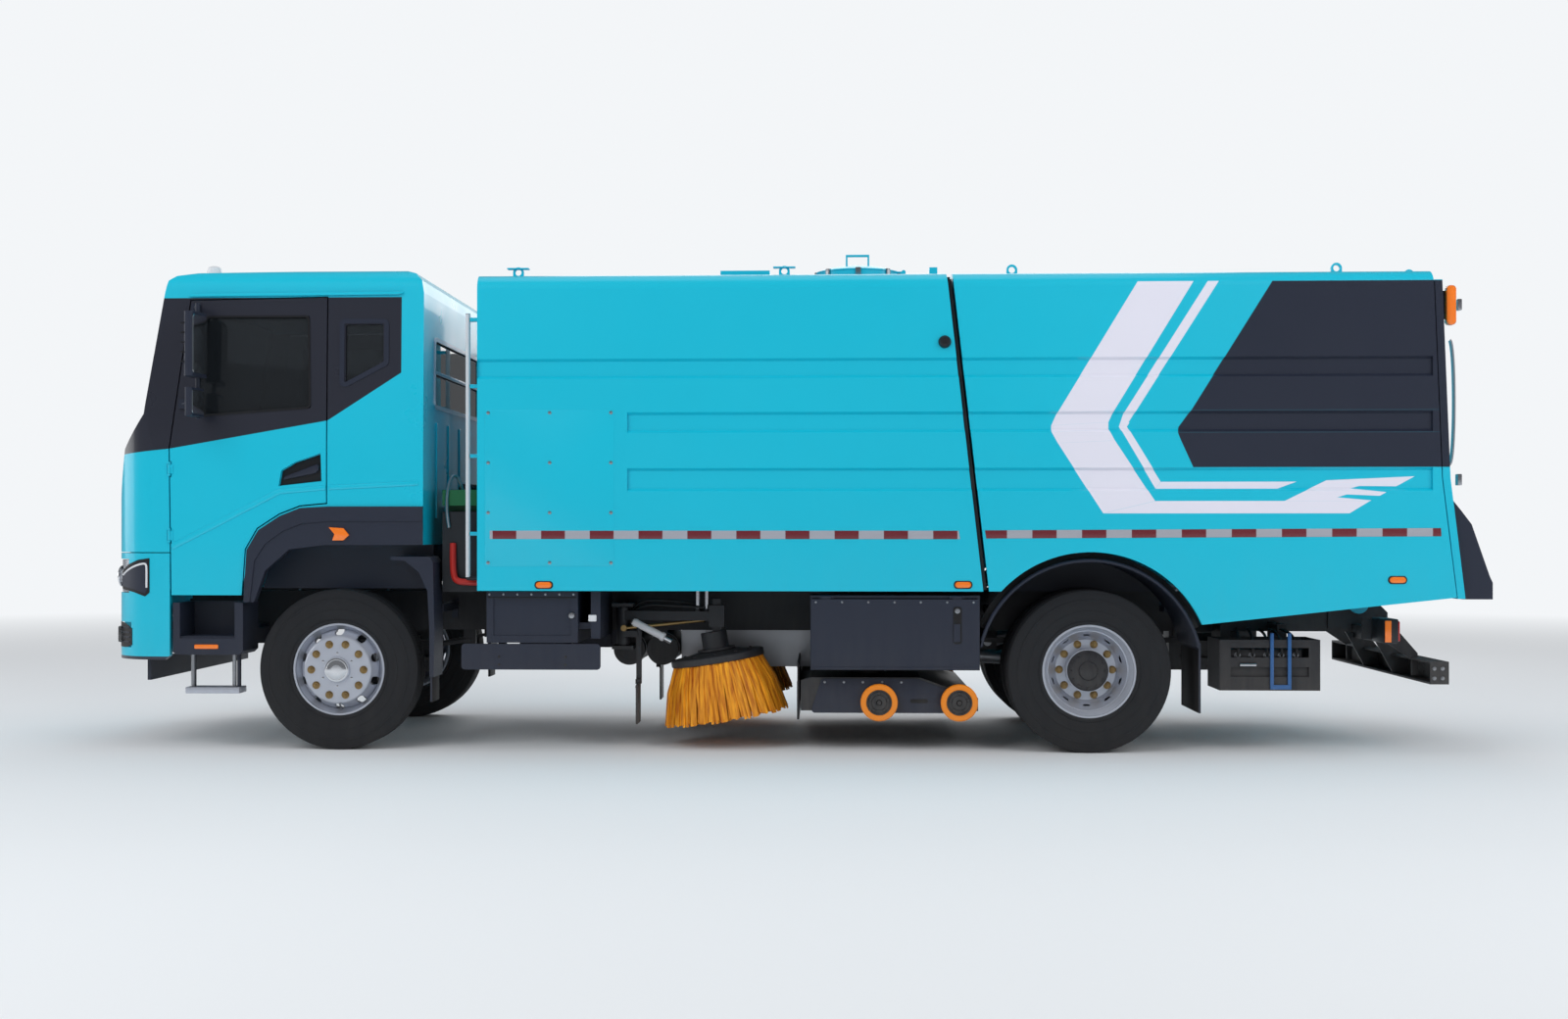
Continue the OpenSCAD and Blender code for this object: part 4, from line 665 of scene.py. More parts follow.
def spin_round(outline, centre, axis=(1, 0, 0), steps=64):
    """A turned piece: an outline of (along, out) pairs, spun about the axis through centre."""
    axis, centre = Vector(axis).normalized(), Vector(centre)
    out = axis.orthogonal().normalized()
    piece = begin("circle", vertices=len(outline), radius=1, fill_type="NOTHING")
    for vertex, (along, radius) in zip(piece.data.vertices, outline):
        vertex.co = centre + axis * along + out * radius
    bpy.ops.object.mode_set(mode="EDIT")
    reach = 1e-6
    pick(piece, lambda edge: all((v.co - centre).cross(axis).length < reach for v in edge.verts), "edges")
    if any(edge.select for edge in bmesh.from_edit_mesh(piece.data).edges):
        bpy.ops.mesh.delete(type="EDGE")
    bpy.ops.mesh.select_mode(type="VERT")
    bpy.ops.mesh.select_all(action="SELECT")
    bpy.ops.mesh.spin(steps=steps, angle=2 * math.pi, center=centre, axis=axis)
    bpy.ops.mesh.select_all(action="SELECT")
    bpy.ops.mesh.remove_doubles(threshold=0.00002)
    bpy.ops.mesh.normals_make_consistent(inside=False)
    bpy.ops.object.mode_set(mode="OBJECT")
    return piece


def ring_of(piece, count, centre, axis):
    """Repeat the piece round an axis, as one mesh."""
    only(piece)
    bpy.ops.object.transform_apply(location=True, rotation=True, scale=True)
    bpy.ops.object.mode_set(mode="EDIT")
    bpy.ops.mesh.select_all(action="SELECT")
    bpy.ops.mesh.spin(steps=count - 1, dupli=True, angle=2 * math.pi * (count - 1) / count, center=centre, axis=axis)
    bpy.ops.object.mode_set(mode="OBJECT")
    return piece


def row_of(piece, shifts):
    """Copies of the piece at these shifts from it, as one mesh with the first."""
    pieces = [piece]
    for shift in shifts:
        only(piece)
        bpy.ops.object.duplicate()
        copy = bpy.context.object
        copy.data.transform(Matrix.Translation(shift))
        pieces.append(copy)
    return join(pieces)


def join(pieces):
    """Several pieces as one mesh."""
    bpy.ops.object.select_all(action="DESELECT")
    for piece in pieces:
        piece.select_set(True)
    bpy.context.view_layer.objects.active = pieces[0]
    bpy.ops.object.transform_apply(location=True, rotation=True, scale=True)
    bpy.ops.object.join()
    return bpy.context.object


def tube(points, radius, sides=3):
    """A round pipe through points, closed at its ends."""
    bpy.ops.object.select_all(action="DESELECT")
    bpy.ops.curve.primitive_nurbs_path_add()
    path = bpy.context.object
    path.data.splines.clear()
    line = path.data.splines.new("NURBS")
    line.points.add(len(points) - 1)
    for knot, point in zip(line.points, points):
        knot.co = (*point, 1)
    line.use_endpoint_u = True
    line.order_u = min(4, len(points))
    path.data.dimensions = "3D"
    path.data.resolution_u = 6
    path.data.bevel_depth = radius
    path.data.bevel_resolution = sides
    path.data.use_fill_caps = True
    bpy.ops.object.convert(target="MESH")
    return bpy.context.object


def rod(start, end, radius, sides=16, bevel=0.002):
    """A straight round bar with chamfered ends."""
    start, end = Vector(start), Vector(end)
    length = (end - start).length
    return spin_round([(0, 0), (0, radius - bevel), (bevel, radius), (length - bevel, radius),
                       (length, radius - bevel), (length, 0)], start, end - start, sides)


def screw(place, axis, radius=0.008, height=0.005):
    """A domed screw head with a flange, standing on place."""
    return spin_round([(0, 0), (0, radius), (height * 0.3, radius), (height * 0.4, radius * 0.72),
                       (height * 0.85, radius * 0.55), (height, radius * 0.25), (height, 0)], place, axis, 10)


def nut(place, axis, across, height, stud=0.0):
    """A hexagon nut with chamfered corners, and the end of its stud."""
    piece = begin("cylinder", vertices=6, radius=across / 2, depth=height, location=(0, 0, height / 2))
    bpy.ops.object.mode_set(mode="EDIT")
    pick(piece, lambda face: face.normal.z > 0.9 or face.normal.z < -0.9)
    bpy.ops.mesh.bevel(offset=height * 0.12, segments=1, affect="EDGES")
    bpy.ops.object.mode_set(mode="OBJECT")
    bpy.ops.object.transform_apply(location=True, rotation=True, scale=True)
    parts = [piece]
    parts.append(spin_round([(0, 0), (0, across * 0.62), (height * 0.12, across * 0.62), (height * 0.22, across * 0.5),
                             (height * 0.22, 0)], (0, 0, 0), (0, 0, 1), 18))
    if stud:
        parts.append(spin_round([(0, 0), (0, across * 0.24), (height + stud - 0.002, across * 0.24),
                                 (height + stud, across * 0.18), (height + stud, 0)], (0, 0, 0), (0, 0, 1), 12))
    piece = join(parts)
    turn = Vector((0, 0, 1)).rotation_difference(Vector(axis)).to_matrix().to_4x4()
    piece.data.transform(Matrix.Translation(place) @ turn)
    return piece


# ---------- wheels ----------

front_tyre_low, front_tyre_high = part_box("tyre_front_left")
rear_tyre_low, rear_tyre_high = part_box("tyre_rear_left")
tyre_r = (front_tyre_high.z - front_tyre_low.z) / 2
tyre_w = front_tyre_high.x - front_tyre_low.x
front_hub = Vector(((front_tyre_low.x + front_tyre_high.x) / 2, (front_tyre_low.y + front_tyre_high.y) / 2, tyre_r))
rear_hub = Vector((rear_tyre_high.x - tyre_w / 2, (rear_tyre_low.y + rear_tyre_high.y) / 2, tyre_r))
inner_hub = Vector((rear_tyre_low.x + tyre_w / 2, rear_hub.y, tyre_r))
RIM_R = 0.290


def tyre_outline():
    """Half of the section from the bead to the middle of the tread, then mirrored."""
    half = tyre_w / 2
    side = [(half - 0.030, RIM_R), (half - 0.014, RIM_R + 0.004), (half - 0.010, RIM_R + 0.020),
            (half - 0.014, RIM_R + 0.026), (half - 0.008, RIM_R + 0.040), (half - 0.003, RIM_R + 0.060),
            (half - 0.001, RIM_R + 0.078), (half, RIM_R + 0.080), (half, RIM_R + 0.086), (half - 0.002, RIM_R + 0.088),
            (half - 0.001, RIM_R + 0.120), (half - 0.004, RIM_R + 0.146), (half - 0.002, RIM_R + 0.149),
            (half - 0.003, RIM_R + 0.156), (half - 0.008, RIM_R + 0.160), (half - 0.013, RIM_R + 0.180),
            (half - 0.020, RIM_R + 0.200), (half - 0.026, tyre_r - 0.006), (half - 0.036, tyre_r - 0.001)]
    grooves = []
    for at in (0.078, 0.030):
        grooves += [(at + 0.007, tyre_r - 0.0003 * (0.078 / at)), (at + 0.004, tyre_r - 0.015),
                    (at - 0.004, tyre_r - 0.015), (at - 0.007, tyre_r)]
    right = side + grooves
    inner = [(half - 0.050, RIM_R), (half - 0.045, RIM_R + 0.020), (half - 0.020, RIM_R + 0.060),
             (half - 0.016, RIM_R + 0.110), (half - 0.030, tyre_r - 0.050), (half - 0.060, tyre_r - 0.030)]
    left = [(-x, r) for x, r in reversed(right)]
    return right + left + [(-x, r) for x, r in inner] + [(x, r) for x, r in reversed(inner)]


def tyre(hub):
    """One tyre: turned casing with grooves, shoulder lugs and fine ribs near the rim."""
    casing = spin_round(tyre_outline(), hub, (1, 0, 0), 112)
    half = tyre_w / 2
    parts = [casing]
    for sign in (1, -1):
        lug = outline_piece([(hub.x + sign * (half - 0.034), hub.y - 0.009, hub.z + tyre_r - 0.012),
                             (hub.x + sign * (half - 0.034), hub.y + 0.009, hub.z + tyre_r - 0.012),
                             (hub.x + sign * (half - 0.022), hub.y + 0.008, hub.z + tyre_r - 0.012),
                             (hub.x + sign * (half - 0.012), hub.y + 0.006, hub.z + tyre_r - 0.044),
                             (hub.x + sign * (half - 0.012), hub.y - 0.006, hub.z + tyre_r - 0.044),
                             (hub.x + sign * (half - 0.022), hub.y - 0.008, hub.z + tyre_r - 0.012)],
                            (-sign * 0.006, 0, 0.0))
        parts.append(ring_of(lug, 72, hub, (1, 0, 0)))
        rib = block((hub.x + sign * (half - 0.006) - 0.004, hub.y - 0.0015, hub.z + RIM_R + 0.095),
                    (hub.x + sign * (half - 0.006) + 0.004, hub.y + 0.0015, hub.z + RIM_R + 0.118), 0)
        parts.append(ring_of(rib, 120, hub, (1, 0, 0)))
    return join(parts)


left_tyre = finish_piece(tyre(front_hub), "front_tyre_left", "wheel_front_left", "rubber", 30, ["tyre_front_left"])
other_side(left_tyre, "front_tyre_right", "wheel_front_right", ["tyre_front_right"])
twins = join([tyre(rear_hub), tyre(inner_hub)])
left_twins = finish_piece(twins, "rear_tyres_left", "wheel_rear_left", "rubber", 30, ["tyre_rear_left"])
other_side(left_twins, "rear_tyres_right", "wheel_rear_right", ["tyre_rear_right"])

front_face, rear_face = front_hub.x + 0.1485, rear_hub.x - 0.062
for hub, face, end, count_r in ((front_hub, front_face, "front", 0.166), (rear_hub, rear_face, "rear", 0.166)):
    first = Vector((face, hub.y + count_r, hub.z))
    nuts = ring_of(nut(first, (1, 0, 0), 0.040, 0.022, 0.008), 10, hub, (1, 0, 0))
    nuts = finish_piece(nuts, f"{end}_wheel_nuts_left", f"wheel_{end}_left", "gold", 30)
    other_side(nuts, f"{end}_wheel_nuts_right", f"wheel_{end}_right")
    valve = tube([(face - 0.05, hub.y + 0.02, hub.z - 0.250), (face - 0.02, hub.y + 0.02, hub.z - 0.246),
                  (face + 0.005, hub.y + 0.02, hub.z - 0.225), (face + 0.018, hub.y + 0.02, hub.z - 0.212)], 0.006)
    valve = finish_piece(valve, f"{end}_wheel_valve_left", f"wheel_{end}_left", "steel")
    other_side(valve, f"{end}_wheel_valve_right", f"wheel_{end}_right")

cap = spin_round([(0.0, 0.0), (0.0, 0.070), (0.003, 0.074), (0.0045, 0.070), (0.004, 0.062), (0.007, 0.058),
                  (0.0085, 0.030), (0.0085, 0.0)], (front_hub.x + 0.1715, front_hub.y, front_hub.z), (1, 0, 0), 48)
cap_bolts = ring_of(screw((front_hub.x + 0.149, front_hub.y, front_hub.z + 0.104), (1, 0, 0), 0.008, 0.006), 6,
                    front_hub, (1, 0, 0))
cap = finish_piece(join([cap, cap_bolts]), "front_hub_cap_left", "wheel_front_left", "chrome")
other_side(cap, "front_hub_cap_right", "wheel_front_right")

dome_x = rear_hub.x + 0.040
dome = spin_round([(0, 0.0), (0, 0.128), (0.006, 0.128), (0.016, 0.118), (0.022, 0.094), (0.024, 0.060), (0.034, 0.056),
                   (0.038, 0.050), (0.040, 0.0)], (dome_x, rear_hub.y, rear_hub.z), (1, 0, 0), 56)
studs = ring_of(screw((dome_x + 0.018, rear_hub.y, rear_hub.z + 0.108), (1, 0, 0), 0.010, 0.012), 12, rear_hub, (1, 0, 0))
dome = finish_piece(join([dome, studs]), "rear_hub_cover_left", "wheel_rear_left", "black")
other_side(dome, "rear_hub_cover_right", "wheel_rear_right")

# ---------- side brushes ----------

brush_low, brush_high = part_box("brush_left")
brush_top = Vector((0.790, -0.474, 0.588))
lean = math.radians(9)
brush_axis = Vector((0, -math.sin(lean), math.cos(lean)))


def strand(reach, drop, width, side_lean):
    """One flat bundle of bristles, from the disc's rim out and down to its tip."""
    start = Vector((reach - 0.118 + dice.uniform(-0.006, 0.004), 0, -0.036))
    knee = Vector((reach - 0.050 + dice.uniform(-0.008, 0.006), side_lean * 0.4, -0.200))
    tip = Vector((reach, side_lean, -drop))
    rows = []
    for spot, wide, thick in ((start, width * 0.8, 0.005), (knee, width, 0.005), (tip, width * 1.05, 0.003)):
        rows.append([spot + Vector((thick * sx, wide * sy, 0)) for sx, sy in ((-1, -1), (1, -1), (1, 1), (-1, 1))])
    piece = begin("cube", size=1)
    bpy.ops.object.mode_set(mode="EDIT")
    pick(piece, lambda face: face.normal.z < -0.9)
    bpy.ops.mesh.extrude_region_move(TRANSFORM_OT_translate={"value": (0, 0, -1)})
    bpy.ops.object.mode_set(mode="OBJECT")
    for vertex in piece.data.vertices:
        level = 0 if vertex.co.z > 0.4 else (1 if vertex.co.z > -0.6 else 2)
        corner = {(-1, -1): 0, (1, -1): 1, (1, 1): 2, (-1, 1): 3}[
            (1 if vertex.co.x > 0 else -1, 1 if vertex.co.y > 0 else -1)]
        vertex.co = rows[level][corner]
    return piece


def bristle_ring():
    """Three rows of bundles, each modelled as one twelfth of the round and then repeated."""
    sectors = []
    for row, (reach, drop, count, width) in enumerate(((0.400, 0.408, 17, 0.0085), (0.372, 0.412, 14, 0.0085),
                                                       (0.340, 0.405, 11, 0.009))):
        for i in range(count):
            piece = strand(reach + dice.uniform(-0.012, 0.006), drop + dice.uniform(-0.020, 0.006), width,
                           dice.uniform(-0.020, 0.020))
            turn = Matrix.Rotation(2 * math.pi / 12 * (i + 0.5 + row * 0.3 + dice.uniform(-0.3, 0.3)) / count, 4, "Z")
            piece.data.transform(turn)
            sectors.append(piece)
    sector = join(sectors)
    whole = ring_of(sector, 12, (0, 0, 0), (0, 0, 1))
    skirt = spin_round([(-0.030, 0.262), (-0.200, 0.322), (-0.375, 0.352), (-0.375, 0.346), (-0.200, 0.312),
                        (-0.030, 0.250)], (0, 0, 0), (0, 0, 1), 48)
    return join([whole, skirt])


def round_and_down(piece):
    """UVs on bristles: turns round the axle across, depth along."""
    layer = piece.data.uv_layers.active or piece.data.uv_layers.new(name="strands")
    layer.name = "strands"
    for loop in piece.data.loops:
        spot = piece.data.vertices[loop.vertex_index].co
        layer.data[loop.index].uv = (math.atan2(spot.y, spot.x) / (2 * math.pi), spot.z * 4)


bristles = bristle_ring()
round_and_down(bristles)
to_brush = Matrix.Translation(brush_top) @ Matrix.Rotation(lean, 4, "X")
bristles.data.transform(to_brush)
bristles = finish_piece(bristles, "bristles_left", "brush_left", "bristle", 20, ["brush_left"])
other_side(bristles, "bristles_right", "brush_right", ["brush_right"])
disc = spin_round([(-0.030, 0.0), (-0.030, 0.240), (-0.048, 0.262), (-0.048, 0.296), (-0.042, 0.301), (-0.008, 0.301),
                   (-0.002, 0.294), (0.006, 0.200), (0.018, 0.140), (0.018, 0.0)], (0, 0, 0), (0, 0, 1), 64)
disc_bolts = ring_of(nut((0.225, 0, 0.003), (0, 0, 1), 0.020, 0.008), 10, (0, 0, 0), (0, 0, 1))
disc = join([disc, disc_bolts])
disc.data.transform(to_brush)
disc = finish_piece(disc, "brush_disc_left", "brush_left", "black")
other_side(disc, "brush_disc_right", "brush_right")

# ---------- nozzle wheels ----------

for end in ("front", "rear"):
    low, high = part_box(f"nozzle_wheel_{end}_left")
    mid = (low + high) / 2
    radius = (high.z - low.z) / 2
    half = (high.x - low.x) / 2
    tread = spin_round([(-half, radius - 0.032), (-half, radius - 0.006), (-half + 0.006, radius), (half - 0.006, radius),
                        (half, radius - 0.006), (half, radius - 0.032), (half - 0.004, radius - 0.036),
                        (-half + 0.004, radius - 0.036)], mid, (1, 0, 0), 56)
    tread = finish_piece(tread, f"nozzle_tread_{end}_left", f"nozzle_wheel_{end}_left", "orange", 35,
                         [f"nozzle_wheel_{end}_left"])
    other_side(tread, f"nozzle_tread_{end}_right", f"nozzle_wheel_{end}_right", [f"nozzle_wheel_{end}_right"])
    hub = spin_round([(-half + 0.003, 0.016), (-half + 0.003, radius - 0.037), (half - 0.005, radius - 0.037),
                      (half - 0.005, radius - 0.044), (half - 0.014, radius - 0.048), (half - 0.014, 0.046),
                      (half - 0.006, 0.044), (half - 0.006, 0.018), (half - 0.010, 0.016)], mid, (1, 0, 0), 48)
    spot = Vector((mid.x + half - 0.014, mid.y, mid.z + 0.058))
    bolts = ring_of(nut(spot, (1, 0, 0), 0.020, 0.009), 5, mid, (1, 0, 0))
    hub = finish_piece(join([hub, bolts]), f"nozzle_hub_{end}_left", f"nozzle_wheel_{end}_left", "black")
    other_side(hub, f"nozzle_hub_{end}_right", f"nozzle_wheel_{end}_right")

# ---------- body and hopper sides ----------

body_low, body_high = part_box("sweeper_body")
hopper_low, hopper_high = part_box("hopper_shell")
side = body_high.x


def both(piece, name, body, look, angle=35, body_right=None):
    """Finish a piece on the left, and its twin on the right."""
    piece = finish_piece(piece, name + "_left", body, look, angle)
    other_side(piece, name + "_right", body_right or body.replace("_left", "_right"))
    return piece


tape = side_plate([(-1.870, 1.328), (1.056, 1.328), (1.048, 1.380), (-1.870, 1.380)], side - 0.001, side + 0.0028, 0.0005)
both(tape, "reflective_tape_body", "chassis", "tape")
tape = side_plate([(1.218, 1.332), (3.990, 1.346), (3.988, 1.396), (1.210, 1.382)], side - 0.001, side + 0.0028, 0.0005)
both(tape, "reflective_tape_hopper", "hopper", "tape")

panel_corners = rounded(-1.901, 1.158, -1.089, 2.137, 0.012, 3)
panel = side_plate(panel_corners, side - 0.002, side + 0.0014, 0.0006)
both(panel, "service_panel", "chassis", "teal")
screws = screw((side + 0.0012, -1.880, 1.180), (1, 0, 0), 0.011, 0.006)
steps = [(0, y, z) for y in (0, 0.386, 0.770) for z in (0, 0.312, 0.624, 0.936) if (y, z) != (0, 0)]
both(row_of(screws, steps), "service_panel_screws", "chassis", "steel", 30)

oval = rounded(-0.050, -0.019, 0.050, 0.019, 0.0185, 8)
for y, z, body, word in ((-1.531, 1.041, "chassis", "front"), (1.075, 1.045, "chassis", "middle"),
                         (3.726, 1.078, "hopper", "rear")):
    base = side_plate([(y + a * 1.16, z + b * 1.3) for a, b in oval], side - 0.002, side + 0.004, 0.002)
    both(base, f"marker_lamp_base_{word}", body, "seal")
    lens = side_plate([(y + a, z + b) for a, b in oval], side + 0.003, side + 0.013, 0.005)
    both(lens, f"marker_lamp_{word}", body, "orange lens")

knob = spin_round([(0, 0), (0, 0.038), (0.006, 0.040), (0.022, 0.036), (0.030, 0.028), (0.032, 0.014), (0.028, 0.010),
                   (0.028, 0)], (side - 0.001, 0.962, 2.548), (1, 0, 0), 32)
both(knob, "hatch_knob", "chassis", "black")

for y in (-1.72, -0.034):
    pad = block((1.020, y - 0.070, body_high.z - 0.117), (1.080, y + 0.070, body_high.z - 0.109), 0.003)
    both(pad, f"eye_pad_body_{'front' if y < -1 else 'rear'}", "chassis", "teal")

# ---------- cab ----------

cab_low, cab_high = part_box("cab_shell")
door_low, door_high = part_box("door_left")

handle = side_plate([(-3.190, 1.700), (-3.180, 1.722), (-2.975, 1.800), (-2.962, 1.790), (-2.964, 1.762), (-2.985, 1.742)],
                    1.172, 1.196, 0.006)
handle_back = side_plate([(-3.214, 1.664), (-3.197, 1.757), (-3.112, 1.808), (-2.953, 1.862), (-2.947, 1.694)], 1.168,
                         1.176, 0.002)
both(handle, "door_handle", "door_left", "dark", body_right="door_right")
both(handle_back, "door_handle_recess", "door_left", "seal", body_right="door_right")

marker = side_plate([(-2.895, 1.402), (-2.800, 1.396), (-2.764, 1.352), (-2.800, 1.318), (-2.872, 1.318), (-2.858, 1.358)],
                    1.205, 1.222, 0.004)
both(marker, "cab_turn_lamp", "cab", "orange lens")

channel = side_plate([(-3.80, 2.858), (-2.46, 2.866), (-2.43, 2.876), (-2.43, 2.884), (-3.78, 2.878)], 1.176, 1.190, 0.003)
both(channel, "rain_channel", "cab", "teal")

beacon_base = spin_round([(0, 0), (0, 0.062), (0.012, 0.062), (0.020, 0.052), (0.020, 0)], (0.40, -3.88, 3.018),
                         (0, 0, 1), 32)
finish_piece(beacon_base, "beacon_base", "cab", "seal")
beacon = spin_round([(0, 0), (0, 0.046), (0.018, 0.050), (0.090, 0.048), (0.112, 0.040), (0.120, 0.022), (0.122, 0)],
                    (0.40, -3.88, 3.036), (0, 0, 1), 32)
finish_piece(beacon, "beacon", "cab", "white")

def frame_ring(corners, width, depth, bevel=0.0015):
    """A flat frame that follows an outline: inset, opened in the middle, then given its depth."""
    points = [Vector(corner) for corner in corners]
    piece = begin("circle", vertices=len(points), radius=1, fill_type="NGON")
    for vertex, point in zip(piece.data.vertices, points):
        vertex.co = point
    bpy.ops.object.mode_set(mode="EDIT")
    bpy.ops.mesh.select_mode(type="FACE")
    bpy.ops.mesh.select_all(action="SELECT")
    bpy.ops.mesh.inset(thickness=width)
    bpy.ops.mesh.delete(type="FACE")
    bpy.ops.mesh.select_all(action="SELECT")
    bpy.ops.mesh.extrude_region_move(TRANSFORM_OT_translate={"value": tuple(depth)})
    bpy.ops.mesh.select_all(action="SELECT")
    bpy.ops.mesh.normals_make_consistent(inside=False)
    bpy.ops.object.mode_set(mode="OBJECT")
    return piece


def touch(name, start, aim):
    """Where a straight line first meets a CAD node."""
    mesh = frame["nodes"][name].data
    tree = BVHTree.FromPolygons([v.co for v in mesh.vertices], [p.vertices for p in mesh.polygons])
    return tree.ray_cast(Vector(start), Vector(aim))[0]


def cab_side(z):
    """How far out the cab's side is at a height above the belt."""
    return 1.200 - 0.0329 * (z - 1.9)


def round_corners(corners, r, steps=4):
    """Round the corners of a convex (a, b) outline."""
    points = []
    count = len(corners)
    for i, corner in enumerate(corners):
        here = Vector(corner)
        back = (Vector(corners[i - 1]) - here).normalized()
        on = (Vector(corners[(i + 1) % count]) - here).normalized()
        half = back.angle(on) / 2
        centre = here + (back + on).normalized() * (r / math.sin(half))
        first = here + back * (r / math.tan(half)) - centre
        last = here + on * (r / math.tan(half)) - centre
        for k in range(steps + 1):
            points.append(tuple(centre + (first * (1 - k / steps) + last * (k / steps)).normalized() * r))
    return points


# window seals
door_window = round_corners([(-3.772, 2.096), (-3.690, 2.738), (-3.025, 2.738), (-3.013, 2.150)], 0.030)
ring = frame_ring([(cab_side(z) + 0.0005, y, z) for y, z in door_window], 0.013, (0.004, 0, 0))
both(ring, "door_window_seal", "door_left", "seal", body_right="door_right")
quarter = round_corners([(-2.832, 2.262), (-2.832, 2.716), (-2.520, 2.716), (-2.520, 2.426)], 0.034)
ring = frame_ring([(cab_side(z) - 0.001, y, z) for y, z in quarter], 0.030, (0.007, 0, 0))
both(ring, "quarter_window_frame", "cab", "dark")
rear_window = rounded(-0.862, 2.168, 0.862, 2.632, 0.06)
ring = frame_ring([(x, -2.301, z) for x, z in rear_window], 0.026, (0, 0.010, 0))
bar_low = block((-0.84, -2.300, 2.392), (0.84, -2.290, 2.414), 0.003)
finish_piece(join([ring, bar_low]), "rear_window_frame", "cab", "alloy")

# creases of the door and of the panel behind it
crease = side_plate([(-3.896, 1.300), (-3.22, 1.642), (-2.918, 1.664), (-2.918, 1.636), (-3.205, 1.612), (-3.896, 1.258)],
                    1.1985, 1.2045, 0.0024)
both(crease, "door_crease", "door_left", "cab teal", body_right="door_right")
crease = side_plate([(-2.897, 1.665), (-2.330, 1.692), (-2.330, 1.664), (-2.897, 1.637)], 1.1985, 1.2045, 0.0024)
both(crease, "rear_panel_crease", "cab", "cab teal")

# ribs on the cab's rear wall
low_rib = block((-0.80, -2.302, 1.46), (-0.76, -2.292, 2.08), 0.004)
low_ribs = row_of(low_rib, [(0.39 * i, 0, 0) for i in range(1, 5)])
finish_piece(low_ribs, "cab_rear_ribs", "cab", "teal")

# mirrors
for word, z0, z1, near, far in (("main", 2.355, 2.715, (1.305, -3.642), (1.497, -3.668)),
                                ("wide", 2.105, 2.250, (1.314, -3.657), (1.487, -3.6755))):
    slope = Vector((far[0] - near[0], far[1] - near[1], 0)).normalized()
    outline = [(near[0] + slope.x * a, near[1] + slope.y * a + 0.0005, z)
               for a, z in rounded(0, z0, (Vector(far) - Vector(near)).length, z1, 0.016, 4)]
    both(outline_piece(outline, (0.0005, 0.004, 0), 0.001), f"mirror_glass_{word}", "door_left", "mirror",
         body_right="door_right")
shell_lines = row_of(block((1.30, -3.7445, 2.42), (1.50, -3.716, 2.426), 0.001), [(0, 0, 0.06 * i) for i in range(1, 5)])
both(shell_lines, "mirror_back_ribs", "door_left", "seal", body_right="door_right")

# steps
reflector = side_plate(rounded(-3.756, 0.634, -3.604, 0.661, 0.006), 1.190, 1.197, 0.002)
both(reflector, "step_reflector", "chassis", "orange lens")
posts = join([rod((1.126, y, 0.376), (1.126, y, 0.645), 0.013) for y in (-3.786, -3.520)])
both(posts, "step_posts", "chassis", "steel")
slats = row_of(block((1.042, -3.806, 0.381), (1.178, -3.790, 0.389), 0.001), [(0, 0.0205 * i, 0) for i in range(1, 16)])
edges = join([block((1.034, -3.815, 0.352), (1.044, -3.471, 0.391)), block((1.176, -3.815, 0.352), (1.188, -3.471, 0.391)),
              block((1.036, -3.817, 0.352), (1.186, -3.805, 0.391)), block((1.036, -3.482, 0.352), (1.186, -3.470, 0.391))])
both(join([slats, edges]), "stirrup_step", "chassis", "alloy")
stud = spin_round([(0, 0), (0, 0.006), (0.003, 0.0045), (0.003, 0)], (0.94, -3.82, 0.712), (0, 0, 1), 8)
shifts = [(0.03 * i, 0.032 * j, 0) for i in range(8) for j in range(10) if i or j]
both(row_of(stud, shifts), "step_tread_studs", "chassis", "dark")

# brush arm: cylinder, link and guide rods
barrel = spin_round([(0, 0), (0, 0.022), (0.012, 0.024), (0.012, 0.027), (0.030, 0.027), (0.030, 0.024), (0.205, 0.024),
                     (0.205, 0.028), (0.228, 0.028), (0.232, 0.022), (0.232, 0)], (0.752, -1.022, 0.793),
                    (0, 0.258, -0.133), 24)
both(barrel, "arm_cylinder", "brush_arm_left", "white", body_right="brush_arm_right")
piston = rod((0.752, -0.816, 0.687), (0.752, -0.770, 0.663), 0.0215)
both(piston, "arm_piston", "brush_arm_left", "chrome", body_right="brush_arm_right")
link = join([rod((0.746, -1.086, 0.7475), (0.746, -0.552, 0.8005), 0.0115),
             spin_round([(-0.02, 0.0), (-0.02, 0.02), (0.02, 0.02), (0.02, 0)], (0.746, -1.080, 0.748), (1, 0, 0), 20)])
both(link, "arm_link", "brush_arm_left", "gold", body_right="brush_arm_right")
guides = join([rod((0.782, y, 0.855), (0.782, y, 0.994), 0.0165) for y in (-0.600, -0.540)])
both(guides, "head_guide_rods", "brush_arm_left", "chrome", body_right="brush_arm_right")
collars = join([spin_round([(0, 0), (0, 0.026), (0.018, 0.028), (0.024, 0.022), (0.024, 0)], (0.782, y, 0.852), (0, 0, 1), 20)
                for y in (-0.600, -0.540)])
both(collars, "guide_collars", "brush_arm_left", "black", body_right="brush_arm_right")
hose_a = tube([(0.66, -1.04, 0.86), (0.70, -0.98, 0.93), (0.73, -0.85, 0.93), (0.76, -0.70, 0.92), (0.765, -0.60, 0.905)], 0.010)
hose_b = tube([(0.69, -1.03, 0.85), (0.72, -0.96, 0.90), (0.745, -0.84, 0.90), (0.79, -0.72, 0.895), (0.80, -0.56, 0.885)], 0.010)
both(join([hose_a, hose_b]), "arm_hoses", "brush_arm_left", "seal", body_right="brush_arm_right")
splash_bolts = row_of(screw((0.80, -0.9805, 0.385), (0, -1, 0), 0.008, 0.005), [(0.06 * i, 0, 0) for i in range(1, 4)])
both(splash_bolts, "splash_guard_bolts", "brush_arm_left", "steel", body_right="brush_arm_right")

